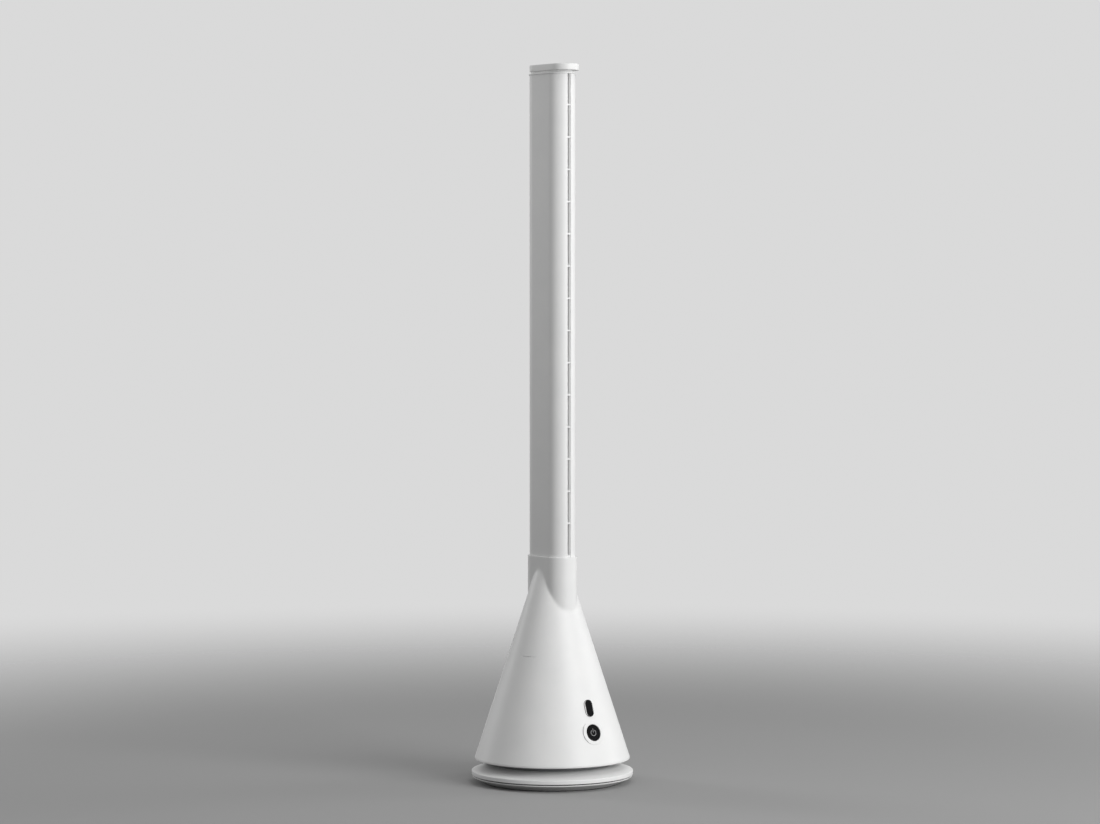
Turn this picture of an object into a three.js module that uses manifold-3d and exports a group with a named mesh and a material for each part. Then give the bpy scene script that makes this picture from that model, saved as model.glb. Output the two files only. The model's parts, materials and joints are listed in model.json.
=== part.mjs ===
// Bladeless tower fan: a cone-shaped body that swivels on a round foot and carries a tall hollow
// column, which blows air out of a narrow slot in its front.
//
// Millimetres, +Z up. The axis of the fan is Z, its front faces -Y, and z = 0 is the floor.

import * as THREE from 'three';
import { mergeVertices } from 'three/addons/utils/BufferGeometryUtils.js';
import Module from 'manifold-3d';

const wasm = await Module();
wasm.setup();

// ---------------------------------------------------------------------------------------------
// Driving dimensions

const CLEARANCE = 0.3; // between pieces that are seated on each other
const BORE_SPARE = 0.8; // how far a bore goes past its screw
const RUNNING_GAP = 0.6; // between pieces that turn past each other
const ROUND_FACETS = 40; // facets of the large round pieces
const INNER_FACETS = 20; // facets of the round pieces inside
const SMALL_FACETS = 10; // facets of pins, holes and screws

// Foot
const FOOT_RADIUS = 108.3;
const FOOT_RIM_BOTTOM = 10.6;
const FOOT_RIM_TOP = 16.9;
const FOOT_EDGE_ROUND = 1.0;
const FOOT_TABLE_MARGIN = 1; // flat of the foot outside the neck
const FOOT_TABLE_HEIGHT = 25;
const FOOT_WALL = 2.4;
const PAN_STEP = 1.3; // how far the tray stands back from the rim
const PAN_LIP_HEIGHT = 2.1;
const PAN_TAPER_WIDTH = 15.8;
const PAN_BOTTOM_HEIGHT = 0.9;
const RING_MARGIN = 1; // from the rubber ring to the edge of the underside
const RING_WIDTH = 9.9;
const RING_THICKNESS = 2.9;
const BALLAST_THICKNESS = 6.1;
const BALLAST_BORE = 30;
const BALLAST_MARGIN = 4; // between the ballast and the power inlet
const FOOT_SCREW_CIRCLE = 60;
const FOOT_BOSS_RADIUS = 5;
const FOOT_SCREW_COUNT = 4;
const FOOT_SCREW_LENGTH = 14;

// Swivel
const SPINDLE_RADIUS = 12;
const SPINDLE_BORE = 7;
const SPINDLE_TAIL = 0.9; // how far the spindle goes on below its clip
const SPINDLE_FLANGE_RADIUS = 21;
const SPINDLE_FLANGE = 3;
const SPINDLE_GROOVE_DEPTH = 1.6;
const HUB_WALL = 5;
const HUB_BOTTOM = 15.1;
const CLIP_THICKNESS = 1.6;
const CLIP_RADIUS = 16;
const CLIP_ARC = 100.5; // degrees of each third of the clip
const GLIDE_INSET = 7.5; // from the neck's inside to the glide ring
const GLIDE_GAP = 8.35; // from the pinion's reach to the glide ring
const GLIDE_THICKNESS = 1.8;
const GEAR_MODULE = 1.5;
const GEAR_TEETH = 40;
const PINION_TEETH = 12;
const TOOTH_TIP = 0.9; // modules that a tooth stands over the pitch circle
const GEAR_WIDTH = 3.6;
const GEAR_BACKLASH = 0.5;
const GEAR_BORE_RADIUS = 24;
const SWIVEL_MOTOR_RADIUS = 13;
const SWIVEL_MOTOR_HEIGHT = 16;
const SWIVEL_SHAFT_RADIUS = 2;

// Power inlet, behind on the foot
const INLET_WIDTH = 18;
const INLET_HEIGHT = 9.6;
const INLET_DEPTH = 12;
const INLET_FLOOR = 6.2;
const SOCKET_WIDTH = 13.8;
const SOCKET_HEIGHT = 7;
const SOCKET_DEPTH = 9.5;
const PIN_RADIUS = 1.1;
const PIN_SPACING = 8.6;
const PIN_LENGTH = 7;
const LEAD_RADIUS = 1.6;

// Cone
const CONE_ANGLE = 18; // degrees from the vertical
const CONE_BASE_RADIUS = 104;
const CONE_GAP = 6.6; // between the foot's table and the cone's lower edge
const CONE_EDGE_ROUND = 2;
const BODY_WALL = 2.6;
const NECK_INSET = 21.5; // from the cone's lower edge in to the neck
const NECK_WALL = 3;
const DECK_THICKNESS = 3.5;
const DECK_INSET = 1.4; // height of the deck over the cone's lower edge
const DECK_SCREW_INSET = 3.3; // from the cone's inside at the top of the bosses
const DECK_SCREW_LENGTH = 14;
const SPINDLE_SCREW_LENGTH = 6;
const DECK_SCREW_COUNT = 3;
const DECK_BOSS_RADIUS = 4.5;
const DECK_BOSS_TOP = 58;
const COLLAR_TOP = 304.2;
const COLLAR_WALL = 2.1;
const GROOVE_HEIGHT = 0.8; // fine line scored into each side of the cone
const GROOVE_DEPTH = 0.8;
const GROOVE_LEVEL = 173.6;
const GROOVE_START = 58.8; // degrees from the front
const GROOVE_END = 80.5;

// Column
const COLUMN_END_RADIUS = 19.7;
const COLUMN_HALF_FLAT = 17.8;
const COLUMN_WALL = 2.2;
const COLUMN_TOP = 945.9;
const COLUMN_SHELF = 259; // top of the shelf in the cone that carries the column
const SHELF_THICKNESS = 3;
const DUCT_HALF_WIDTH = 13;
const DUCT_HALF_FLAT = 6;
const SEAL_THICKNESS = 1.7;
const PLUG_WALL = 2;
const PLUG_HEIGHT = 26;
const PLUG_FRONT = 28; // how far the plug reaches towards the slot
const COLUMN_SCREW_GAP = 0.6; // from the air duct to the screws' heads
const COLUMN_SCREW_LENGTH = 16;

// Air slot
const SLOT_THROAT = 1.7;
const SLOT_MOUTH = 7;
const SLOT_DEPTH = 3.1;
const SLOT_LIP = 1.8;
const SLOT_START = 2.7; // height of the slot's lower end over the collar
const BRIDGE_COUNT = 14;
const BRIDGE_TOP_GAP = 40.2; // from the top bar to the column's top
const BRIDGE_HEIGHT = 2;
const BRIDGE_RECESS = 0.8;
const STRIP_HALF_WIDTH = 5.5;
const STRIP_THICKNESS = 3;
const GUIDE_WALL = 1.2;

// Lid
const RING_PROUD = 1.2;
const RING_HEIGHT = 1.4;
const SPIGOT_HEIGHT = 16;
const NECK_BAND_INSET = 2;
const NECK_BAND_HEIGHT = 3.1;
const LID_HEIGHT = 8.7;
const LID_OVERHANG = 8.2;
const LID_EDGE_ROUND = 0.8;
const LID_SCREW_OFFSET = 10;
const LID_SCREW_LENGTH = 9;

// Display and button, on the front of the cone
const DISPLAY_RISE = 31.4; // from the button's height to the display's
const DISPLAY_WIDTH = 12.6;
const DISPLAY_LENGTH = 22.1;
const DISPLAY_PROUD = 2.2;
const DISPLAY_THICKNESS = 3.2;
const DISPLAY_FLANGE = 1.5;
const DISPLAY_FLANGE_THICKNESS = 1.2;
const BUTTON_HEIGHT = 75.8;
const BUTTON_RADIUS = 11.3;
const BUTTON_RECESS = 0.4; // below the face of the boss round it
const BUTTON_EDGE_ROUND = 0.5;
const BUTTON_FLANGE = 1.3;
const BUTTON_FLANGE_THICKNESS = 1.2;
const BUTTON_TRAVEL = 0.8;
const BUTTON_STEM_RADIUS = 1.5;
const BOSS_RADIUS = 16.5;
const BOSS_PROUD = 0.3;
const BOSS_DEPTH = 4.2;
const BOARD_DEPTH = 16; // from the cone's surface to the board's face
const BOARD_WIDTH = 36;
const BOARD_LENGTH = 62;
const BOARD_THICKNESS = 1.6;
const BOARD_RISE = 16.8; // from the button's height to the board's middle
const BOARD_POST_OFFSET = 13;
const BOARD_POST_LOWER = 20; // up the slope from the button
const BOARD_POST_UPPER = 44;
const BOARD_POST_RADIUS = 2.4;
const BOARD_SCREW_LENGTH = 7;
const SWITCH_WIDTH = 7;
const SWITCH_HEIGHT = 5;

// Intake, behind
const GRILLE_BOTTOM = 50;
const GRILLE_TOP = 122;
const GRILLE_HALF_ANGLE = 40;
const GRILLE_LIP = 3;
const GRILLE_LIP_THICKNESS = 2;
const GRILLE_ROWS = 10;
const GRILLE_WINDOWS = 3;
const GRILLE_SLAT = 3;
const GRILLE_FRAME = 6;
const GRILLE_RIB_ANGLE = 2.4;
const FILTER_THICKNESS = 5;

// Fan
const SHROUD_RISE = 6; // over the intake
const SHROUD_WALL = 2;
const SHROUD_FLANGE = 2.5;
const SHROUD_MOUTH_GAP = 20.2; // from the cone's inside to the duct's
const SHROUD_THROAT_GAP = 11.2;
const SHROUD_OUTLET_GAP = 10.1;
const THROAT_RISE = 1.7; // over the motor's cup
const IMPELLER_RISE = 11; // over the duct's lower end
const IMPELLER_HEIGHT = 26;
const IMPELLER_HUB_RADIUS = 14;
const IMPELLER_BACK_RADIUS = 20;
const IMPELLER_TIP_GAP = 1.2;
const BLADE_COUNT = 9;
const BLADE_THICKNESS = 1.4;
const BLADE_PITCH = 52; // degrees between a blade's face and the plane of rotation
const SHAFT_RADIUS = 2.5;
const FAN_MOTOR_RADIUS = 17;
const FAN_MOTOR_RISE = 4; // over the impeller
const FAN_MOTOR_HEIGHT = 27;
const DAMPER_THICKNESS = 2;
const VANE_COUNT = 7;
const VANE_THICKNESS = 1.5;
const VANE_HEIGHT = 16;
const MOTOR_LEAD_RISE = 14; // from the throat to where the lead goes in

// ---------------------------------------------------------------------------------------------
// Solids

function solidOf(geometry) {
  const plain = geometry.clone();
  plain.deleteAttribute('normal');
  plain.deleteAttribute('uv');
  const merged = mergeVertices(plain, 1e-4);
  const index = merged.index.array;
  const corners = [];
  for (let i = 0; i < index.length; i += 3) {
    const [a, b, c] = [index[i], index[i + 1], index[i + 2]];
    if (a !== b && b !== c && c !== a) {
      corners.push(a, b, c);
    }
  }
  return new wasm.Manifold(new wasm.Mesh({
    numProp: 3,
    vertProperties: new Float32Array(merged.attributes.position.array),
    triVerts: new Uint32Array(corners),
  }));
}

function geometryOf(solid) {
  const mesh = solid.getMesh();
  const geometry = new THREE.BufferGeometry();
  const positions = new Float32Array(mesh.numVert * 3);
  for (let i = 0; i < mesh.numVert; i += 1) {
    for (let axis = 0; axis < 3; axis += 1) {
      positions[3 * i + axis] = mesh.vertProperties[mesh.numProp * i + axis];
    }
  }
  geometry.setAttribute('position', new THREE.BufferAttribute(positions, 3));
  geometry.setIndex(new THREE.BufferAttribute(new Uint32Array(mesh.triVerts), 1));
  geometry.computeVertexNormals();
  return geometry;
}

function join(...geometries) {
  return geometryOf(geometries.map(solidOf).reduce((sum, next) => sum.add(next)));
}

function cut(body, ...tools) {
  return geometryOf(tools.map(solidOf).reduce((rest, tool) => rest.subtract(tool), solidOf(body)));
}

function overlap(first, second) {
  return geometryOf(solidOf(first).intersect(solidOf(second)));
}

// A profile of [radius, height] points, listed anticlockwise, turned round the Z axis.
function turned(profile, facets = ROUND_FACETS) {
  const points = profile.map(([radius, height]) => new THREE.Vector2(radius, height));
  const closed = profile[0][0] === 0 && profile.at(-1)[0] === 0;
  if (!closed) {
    points.push(points[0].clone());
  }
  return new THREE.LatheGeometry(points, facets).rotateX(Math.PI / 2);
}

function disc(radius, bottom, top, x = 0, y = 0, facets = SMALL_FACETS) {
  const geometry = new THREE.CylinderGeometry(radius, radius, top - bottom, facets);
  return geometry.rotateX(Math.PI / 2).translate(x, y, (top + bottom) / 2);
}

function block(width, depth, bottom, top, x = 0, y = 0) {
  return new THREE.BoxGeometry(width, depth, top - bottom).translate(x, y, (top + bottom) / 2);
}

// A racetrack outline, long from front to back. Its front end may reach further than its back end.
function racetrack(endRadius, halfFlat, frontExtra = 0) {
  const front = -halfFlat - frontExtra;
  const shape = new THREE.Shape();
  shape.moveTo(endRadius, front);
  shape.lineTo(endRadius, halfFlat);
  shape.absarc(0, halfFlat, endRadius, 0, Math.PI, false);
  shape.lineTo(-endRadius, front);
  shape.absarc(0, front, endRadius, Math.PI, 2 * Math.PI, false);
  return shape;
}

function prism(shape, bottom, top, curveSegments = 10) {
  const settings = { depth: top - bottom, bevelEnabled: false, curveSegments };
  return new THREE.ExtrudeGeometry(shape, settings).translate(0, 0, bottom);
}

// A slice of a ring, between two angles from the front, in degrees, positive towards +X.
function slice(innerRadius, outerRadius, startAngle, endAngle, bottom, top) {
  const start = THREE.MathUtils.degToRad(startAngle - 90);
  const end = THREE.MathUtils.degToRad(endAngle - 90);
  const shape = new THREE.Shape();
  shape.absarc(0, 0, outerRadius, start, end, false);
  shape.absarc(0, 0, innerRadius, end, start, true);
  return prism(shape, bottom, top, 4);
}

function around(count, place) {
  return Array.from({ length: count }, (_, i) => place((2 * Math.PI * i) / count, i));
}

// A screw that points up from the underside of its head.
function screw(headRadius, headHeight, shankRadius, length) {
  const body = turned([
    [0, 0],
    [headRadius, 0],
    [headRadius, headHeight],
    [shankRadius, headHeight],
    [shankRadius, headHeight + length],
    [0, headHeight + length + shankRadius],
  ], SMALL_FACETS);
  return cut(body, disc(headRadius / 2, -1, headHeight * 0.6, 0, 0, 6));
}

function tube(points, radius, steps) {
  const path = new THREE.CatmullRomCurve3(points.map((point) => new THREE.Vector3(...point)));
  const section = new THREE.Shape();
  section.absarc(0, 0, radius, 0, 2 * Math.PI, false);
  return new THREE.ExtrudeGeometry(section, { steps, extrudePath: path, curveSegments: 3 });
}

// ---------------------------------------------------------------------------------------------
// The scene graph

const fan = new THREE.Group();

function material(color, roughness, metalness = 0) {
  return () => new THREE.MeshStandardMaterial({ color, roughness, metalness });
}

const whitePlastic = material(0xececea, 0.35);
const darkPlastic = material(0x3a3b3d, 0.55);
const greyPlastic = material(0x8b8d90, 0.5);
const glossBlack = material(0x0b0c0e, 0.12);
const steel = material(0xa8abb0, 0.35, 1);
const castIron = material(0x4a4c50, 0.6, 0.8);
const brass = material(0xc4a35a, 0.3, 1);
const nylon = material(0xd8d5cb, 0.5);
const rubber = material(0x1c1c1e, 0.9);
const foam = material(0x55585c, 0.95);
const circuitGreen = material(0x1f5b3a, 0.5);

function add(name, geometry, makeMaterial, parent = fan) {
  const mesh = new THREE.Mesh(geometry, makeMaterial());
  mesh.name = name;
  parent.add(mesh);
  return mesh;
}

// ---------------------------------------------------------------------------------------------
// Foot

const neckRadius = CONE_BASE_RADIUS - NECK_INSET;
const footTableRadius = neckRadius + FOOT_TABLE_MARGIN;
const panRadius = FOOT_RADIUS - PAN_STEP;
const panBottomRadius = panRadius - PAN_TAPER_WIDTH;
const ringRadius = panBottomRadius - RING_MARGIN;
const glideRadius = neckRadius - NECK_WALL - GLIDE_INSET;
const panLipTop = FOOT_RIM_BOTTOM - CLEARANCE;
const panLipBottom = panLipTop - PAN_LIP_HEIGHT;
const panTaper = (panLipBottom - PAN_BOTTOM_HEIGHT) / (panRadius - panBottomRadius);
const panWallRise = FOOT_WALL * Math.hypot(1, panTaper);
const panFloor = PAN_BOTTOM_HEIGHT + CLEARANCE + FOOT_WALL;
const ringSeat = RING_THICKNESS + CLEARANCE;
const panRingFloor = ringSeat + FOOT_WALL;
const footUnderside = FOOT_TABLE_HEIGHT - FOOT_WALL;
const ballastBottom = panRingFloor + CLEARANCE;
const ballastTop = ballastBottom + BALLAST_THICKNESS;
const screwBossTop = panFloor + 3;
const footBossBottom = screwBossTop + CLEARANCE;
const footScrewHead = 2.2;
const footScrewHeadRadius = 3;
const footScrewRadius = 1.5;
const inletFace = FOOT_RADIUS - 1.3;
const inletMiddle = INLET_FLOOR + INLET_HEIGHT / 2;

function footScrewPlaces() {
  return around(FOOT_SCREW_COUNT, (angle) => {
    const turn = angle + Math.PI / FOOT_SCREW_COUNT;
    return [FOOT_SCREW_CIRCLE * Math.cos(turn), FOOT_SCREW_CIRCLE * Math.sin(turn)];
  });
}

function inletHole() {
  const width = INLET_WIDTH + 2 * CLEARANCE;
  const bottom = INLET_FLOOR - CLEARANCE;
  const top = INLET_FLOOR + INLET_HEIGHT + CLEARANCE;
  const start = inletFace - INLET_DEPTH - CLEARANCE;
  return block(width, FOOT_RADIUS - start + 2, bottom, top, 0, (FOOT_RADIUS + 2 + start) / 2);
}

function makeFootCover() {
  const slope = (FOOT_TABLE_HEIGHT - FOOT_RIM_TOP) / (FOOT_RADIUS - footTableRadius);
  const rimInside = FOOT_RADIUS - FOOT_WALL;
  const shell = turned([
    [SPINDLE_RADIUS + CLEARANCE, HUB_BOTTOM],
    [SPINDLE_RADIUS + CLEARANCE + HUB_WALL, HUB_BOTTOM],
    [SPINDLE_RADIUS + CLEARANCE + HUB_WALL, footUnderside],
    [footTableRadius, footUnderside],
    [rimInside, footUnderside - slope * (rimInside - footTableRadius)],
    [rimInside, FOOT_RIM_BOTTOM],
    [FOOT_RADIUS, FOOT_RIM_BOTTOM],
    [FOOT_RADIUS, FOOT_RIM_TOP - FOOT_EDGE_ROUND],
    [FOOT_RADIUS - 0.3 * FOOT_EDGE_ROUND, FOOT_RIM_TOP - 0.3 * FOOT_EDGE_ROUND],
    [FOOT_RADIUS - FOOT_EDGE_ROUND, FOOT_RIM_TOP],
    [footTableRadius, FOOT_TABLE_HEIGHT],
    [SPINDLE_RADIUS + CLEARANCE, FOOT_TABLE_HEIGHT],
  ]);
  const bosses = footScrewPlaces().map(([x, y]) => (
    disc(FOOT_BOSS_RADIUS, footBossBottom, FOOT_TABLE_HEIGHT - 1, x, y)));
  const bores = footScrewPlaces().map(([x, y]) => (
    disc(footScrewRadius + CLEARANCE, footBossBottom - 1, footUnderside - 1, x, y)));
  return cut(join(shell, ...bosses), ...bores, inletHole());
}

function makeFootPan() {
  const rimInside = FOOT_RADIUS - FOOT_WALL - CLEARANCE - 1;
  const innerRise = PAN_BOTTOM_HEIGHT + panWallRise;
  const shell = turned([
    [0, PAN_BOTTOM_HEIGHT + CLEARANCE],
    [ringRadius - RING_WIDTH - CLEARANCE, PAN_BOTTOM_HEIGHT + CLEARANCE],
    [ringRadius - RING_WIDTH - CLEARANCE, ringSeat],
    [ringRadius + CLEARANCE, ringSeat],
    [ringRadius + CLEARANCE, PAN_BOTTOM_HEIGHT],
    [panBottomRadius, PAN_BOTTOM_HEIGHT],
    [panRadius, panLipBottom],
    [panRadius, panLipTop],
    [rimInside, panLipTop],
    [rimInside, innerRise + panTaper * (rimInside - panBottomRadius)],
    [panBottomRadius + (panRingFloor - innerRise) / panTaper, panRingFloor],
    [ringRadius - RING_WIDTH - FOOT_WALL, panRingFloor],
    [ringRadius - RING_WIDTH - FOOT_WALL, panFloor],
    [0, panFloor],
  ]);
  const headSeat = PAN_BOTTOM_HEIGHT + CLEARANCE + footScrewHead + CLEARANCE;
  const bosses = footScrewPlaces().map(([x, y]) => (
    disc(FOOT_BOSS_RADIUS, PAN_BOTTOM_HEIGHT + CLEARANCE, screwBossTop, x, y)));
  const heads = footScrewPlaces().map(([x, y]) => (
    disc(footScrewHeadRadius + CLEARANCE, 0, headSeat, x, y)));
  const shanks = footScrewPlaces().map(([x, y]) => (
    disc(footScrewRadius + CLEARANCE, 0, screwBossTop + 1, x, y)));
  return cut(join(shell, ...bosses), ...heads, ...shanks, inletHole());
}

function makeBallastPlate() {
  const radius = inletFace - INLET_DEPTH - BALLAST_MARGIN;
  const plate = turned([
    [BALLAST_BORE, ballastBottom],
    [radius, ballastBottom],
    [radius, ballastTop],
    [BALLAST_BORE, ballastTop],
  ], 36);
  const holes = footScrewPlaces().map(([x, y]) => (
    disc(FOOT_BOSS_RADIUS + 1.5, 0, ballastTop + 1, x, y)));
  const leadWay = block(4 * LEAD_RADIUS, radius, 0, ballastTop + 1, 0, BALLAST_BORE - 2 + radius / 2);
  return cut(plate, ...holes, leadWay);
}

function makeFootRing() {
  return turned([
    [ringRadius - RING_WIDTH, 0],
    [ringRadius, 0],
    [ringRadius, RING_THICKNESS],
    [ringRadius - RING_WIDTH, RING_THICKNESS],
  ]);
}

function makeGlideRing() {
  const bottom = FOOT_TABLE_HEIGHT + CLEARANCE;
  return turned([
    [glideInnerRadius, bottom],
    [glideRadius, bottom],
    [glideRadius, bottom + GLIDE_THICKNESS],
    [glideInnerRadius, bottom + GLIDE_THICKNESS],
  ], 36);
}

// An outside gear with straight-flanked teeth, one of them on the +X axis.
function gearShape(teeth, boreRadius) {
  const pitchRadius = (teeth * GEAR_MODULE) / 2;
  const tipRadius = pitchRadius + TOOTH_TIP * GEAR_MODULE;
  const rootRadius = pitchRadius - 1.3 * GEAR_MODULE;
  const thickness = (Math.PI * GEAR_MODULE) / 2 - GEAR_BACKLASH;
  const flank = Math.tan(THREE.MathUtils.degToRad(20));
  const tipAngle = (thickness / 2 - (tipRadius - pitchRadius) * flank) / tipRadius;
  const rootAngle = (thickness / 2 + (pitchRadius - rootRadius) * flank) / rootRadius;
  const outline = around(teeth, (angle) => [
    [rootRadius, angle - rootAngle],
    [tipRadius, angle - tipAngle],
    [tipRadius, angle + tipAngle],
    [rootRadius, angle + rootAngle],
  ]).flat().map(([radius, angle]) => (
    new THREE.Vector2(radius * Math.cos(angle), radius * Math.sin(angle))));
  const shape = new THREE.Shape(outline);
  const bore = new THREE.Path();
  bore.absarc(0, 0, boreRadius, 0, 2 * Math.PI, true);
  shape.holes.push(bore);
  return shape;
}

function makePowerInlet() {
  const back = inletFace - INLET_DEPTH / 2;
  const housing = block(INLET_WIDTH, INLET_DEPTH, INLET_FLOOR, INLET_FLOOR + INLET_HEIGHT, 0, back);
  const half = SOCKET_HEIGHT / 2;
  const outline = racetrack(half, SOCKET_WIDTH / 2 - half);
  const socket = prism(outline, 0, SOCKET_DEPTH + 1, 6).rotateZ(Math.PI / 2).rotateX(-Math.PI / 2);
  socket.translate(0, inletFace - SOCKET_DEPTH, inletMiddle);
  const pinHoles = [-1, 1].map((side) => inletPin(side, PIN_RADIUS + CLEARANCE, INLET_DEPTH));
  return cut(housing, socket, ...pinHoles);
}

function inletPin(side, radius, length) {
  const pin = disc(radius, 0, length).rotateX(-Math.PI / 2);
  const start = inletFace - SOCKET_DEPTH - (INLET_DEPTH - SOCKET_DEPTH);
  return pin.translate((side * PIN_SPACING) / 2, start, inletMiddle);
}

function makeSupplyLead() {
  const low = panFloor + LEAD_RADIUS + CLEARANCE;
  const bend = 13;
  const points = [
    [0, inletFace - INLET_DEPTH - CLEARANCE, inletMiddle],
    [0, inletFace - INLET_DEPTH - 9, inletMiddle - 1],
    [0, 60, low + 1],
    [0, 34, low],
    [0, bend + 3, low],
    [0, bend * 0.5, low + bend * 0.134],
    [0, bend * 0.134, low + bend * 0.5],
    [0, 0, low + bend + 2],
    [0, 0, low + bend + 8],
    [0, 0, deckTop],
  ];
  return tube(points, LEAD_RADIUS, 22);
}

// ---------------------------------------------------------------------------------------------
// Cone

const coneTan = Math.tan(THREE.MathUtils.degToRad(CONE_ANGLE));
const coneCos = Math.cos(THREE.MathUtils.degToRad(CONE_ANGLE));
const coneBaseHeight = FOOT_TABLE_HEIGHT + CONE_GAP;
const coneEdge = coneBaseHeight + CONE_EDGE_ROUND;
const deckBottom = coneBaseHeight + DECK_INSET;
const deckTop = deckBottom + DECK_THICKNESS;
const collarEndRadius = COLUMN_END_RADIUS + CLEARANCE + COLLAR_WALL;
const collarReach = COLUMN_HALF_FLAT + collarEndRadius;
const shelfBottom = COLUMN_SHELF - SHELF_THICKNESS;
const displayHeight = BUTTON_HEIGHT + DISPLAY_RISE;
const cutterDepth = 2.5 * BOSS_DEPTH;

// The cone's radius at a height, at a depth under its surface.
function coneRadius(height, depth = 0) {
  return CONE_BASE_RADIUS - (height - coneEdge) * coneTan - depth / coneCos;
}

// A height at which the cone stands well outside a reach from the axis.
function heightInsideCone(reach) {
  return coneEdge + (CONE_BASE_RADIUS - 1.2 * reach) / coneTan;
}

function coneSolid(depth, bottom, top) {
  return turned([
    [0, bottom],
    [coneRadius(bottom, depth), bottom],
    [coneRadius(top, depth), top],
    [0, top],
  ]);
}

// A curved sheet that follows the cone, between two depths.
function coneSheet(outerDepth, innerDepth, bottom, top) {
  return turned([
    [coneRadius(bottom, innerDepth), bottom],
    [coneRadius(bottom, outerDepth), bottom],
    [coneRadius(top, outerDepth), top],
    [coneRadius(top, innerDepth), top],
  ]);
}

// Places a geometry on the front of the cone: its +Z points out and its +Y points up the slope.
function onFront(geometry, height) {
  const out = new THREE.Vector3(0, -coneCos, Math.sin(THREE.MathUtils.degToRad(CONE_ANGLE)));
  const right = new THREE.Vector3(1, 0, 0);
  const up = new THREE.Vector3().crossVectors(out, right);
  const place = new THREE.Matrix4().makeBasis(right, up, out);
  place.setPosition(0, -coneRadius(height), height);
  return geometry.applyMatrix4(place);
}

function deckScrewPlaces() {
  const circle = coneRadius(DECK_BOSS_TOP, BODY_WALL) - DECK_SCREW_INSET;
  return around(DECK_SCREW_COUNT, (angle) => {
    const turn = angle + Math.PI / 6;
    return [circle * Math.cos(turn), circle * Math.sin(turn)];
  });
}

function columnScrewPlaces() {
  const offset = shroudOutletRadius + SHROUD_WALL + screwHeadRadius + COLUMN_SCREW_GAP;
  return [[0, -offset], [0, offset]];
}

const screwHead = 2;
const screwHeadRadius = 2.8;
const screwRadius = 1.3;

// How far the bore of a screw goes past the underside of its head.
function boreLength(length) {
  return length + screwRadius + BORE_SPARE;
}

function pillOutline(margin) {
  const radius = DISPLAY_WIDTH / 2 + margin;
  return racetrack(radius, (DISPLAY_LENGTH - DISPLAY_WIDTH) / 2);
}

// The middle of the board, measured up the slope from the button.
const boardAboveButton = BOARD_RISE / coneCos;
const boardFace = -BOARD_DEPTH;
const boardPostPlaces = [
  [BOARD_POST_OFFSET, BOARD_POST_LOWER],
  [-BOARD_POST_OFFSET, BOARD_POST_UPPER],
];

// A point in the middle of the board's thickness, up the slope from the button.
function boardPoint(up) {
  const middle = new THREE.Vector3(0, up, boardFace - BOARD_THICKNESS / 2);
  const point = onFront(new THREE.BufferGeometry().setFromPoints([middle]), BUTTON_HEIGHT);
  return point.attributes.position.array;
}

function boardPosts(radius, bottom, top) {
  return boardPostPlaces.map(([x, y]) => onFront(disc(radius, bottom, top, x, y), BUTTON_HEIGHT));
}

function makeConeOutside() {
  const cone = turned([
    [0, coneBaseHeight],
    [CONE_BASE_RADIUS - 0.8 * CONE_EDGE_ROUND, coneBaseHeight],
    [CONE_BASE_RADIUS - 0.2 * CONE_EDGE_ROUND, coneBaseHeight + 0.35 * CONE_EDGE_ROUND],
    [CONE_BASE_RADIUS, coneEdge],
    [coneRadius(COLLAR_TOP), COLLAR_TOP],
    [0, COLLAR_TOP],
  ]);
  const collarFoot = heightInsideCone(collarReach);
  return join(cone, prism(racetrack(collarEndRadius, COLUMN_HALF_FLAT), collarFoot, COLLAR_TOP));
}

function makeConeInside() {
  const cone = coneSolid(BODY_WALL, coneBaseHeight - 5, COLLAR_TOP + 1);
  const socket = racetrack(COLUMN_END_RADIUS + CLEARANCE, COLUMN_HALF_FLAT);
  const socketFoot = heightInsideCone(collarReach);
  return join(cone, prism(socket, socketFoot, COLLAR_TOP + 1));
}

// The shelf's rim ends inside the wall that it joins.
function makeShelf() {
  const rim = racetrack(collarEndRadius - COLLAR_WALL / 2, COLUMN_HALF_FLAT);
  const slab = join(
    coneSolid(BODY_WALL / 2, shelfBottom, COLUMN_SHELF),
    prism(rim, shelfBottom, COLUMN_SHELF),
  );
  const duct = prism(racetrack(DUCT_HALF_WIDTH, DUCT_HALF_FLAT), shelfBottom - 1, COLUMN_SHELF + 1);
  const holes = columnScrewPlaces().map(([x, y]) => (
    disc(screwRadius + CLEARANCE, shelfBottom - 1, COLUMN_SHELF + 1, x, y)));
  return cut(slab, duct, ...holes);
}

function makeGrooves() {
  const outer = coneRadius(GROOVE_LEVEL) + BODY_WALL;
  const inner = coneRadius(GROOVE_LEVEL, GROOVE_DEPTH);
  const bottom = GROOVE_LEVEL - GROOVE_HEIGHT / 2;
  return [[GROOVE_START, GROOVE_END], [-GROOVE_END, -GROOVE_START]].map(([start, end]) => (
    slice(inner, outer, start, end, bottom, bottom + GROOVE_HEIGHT)));
}

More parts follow.
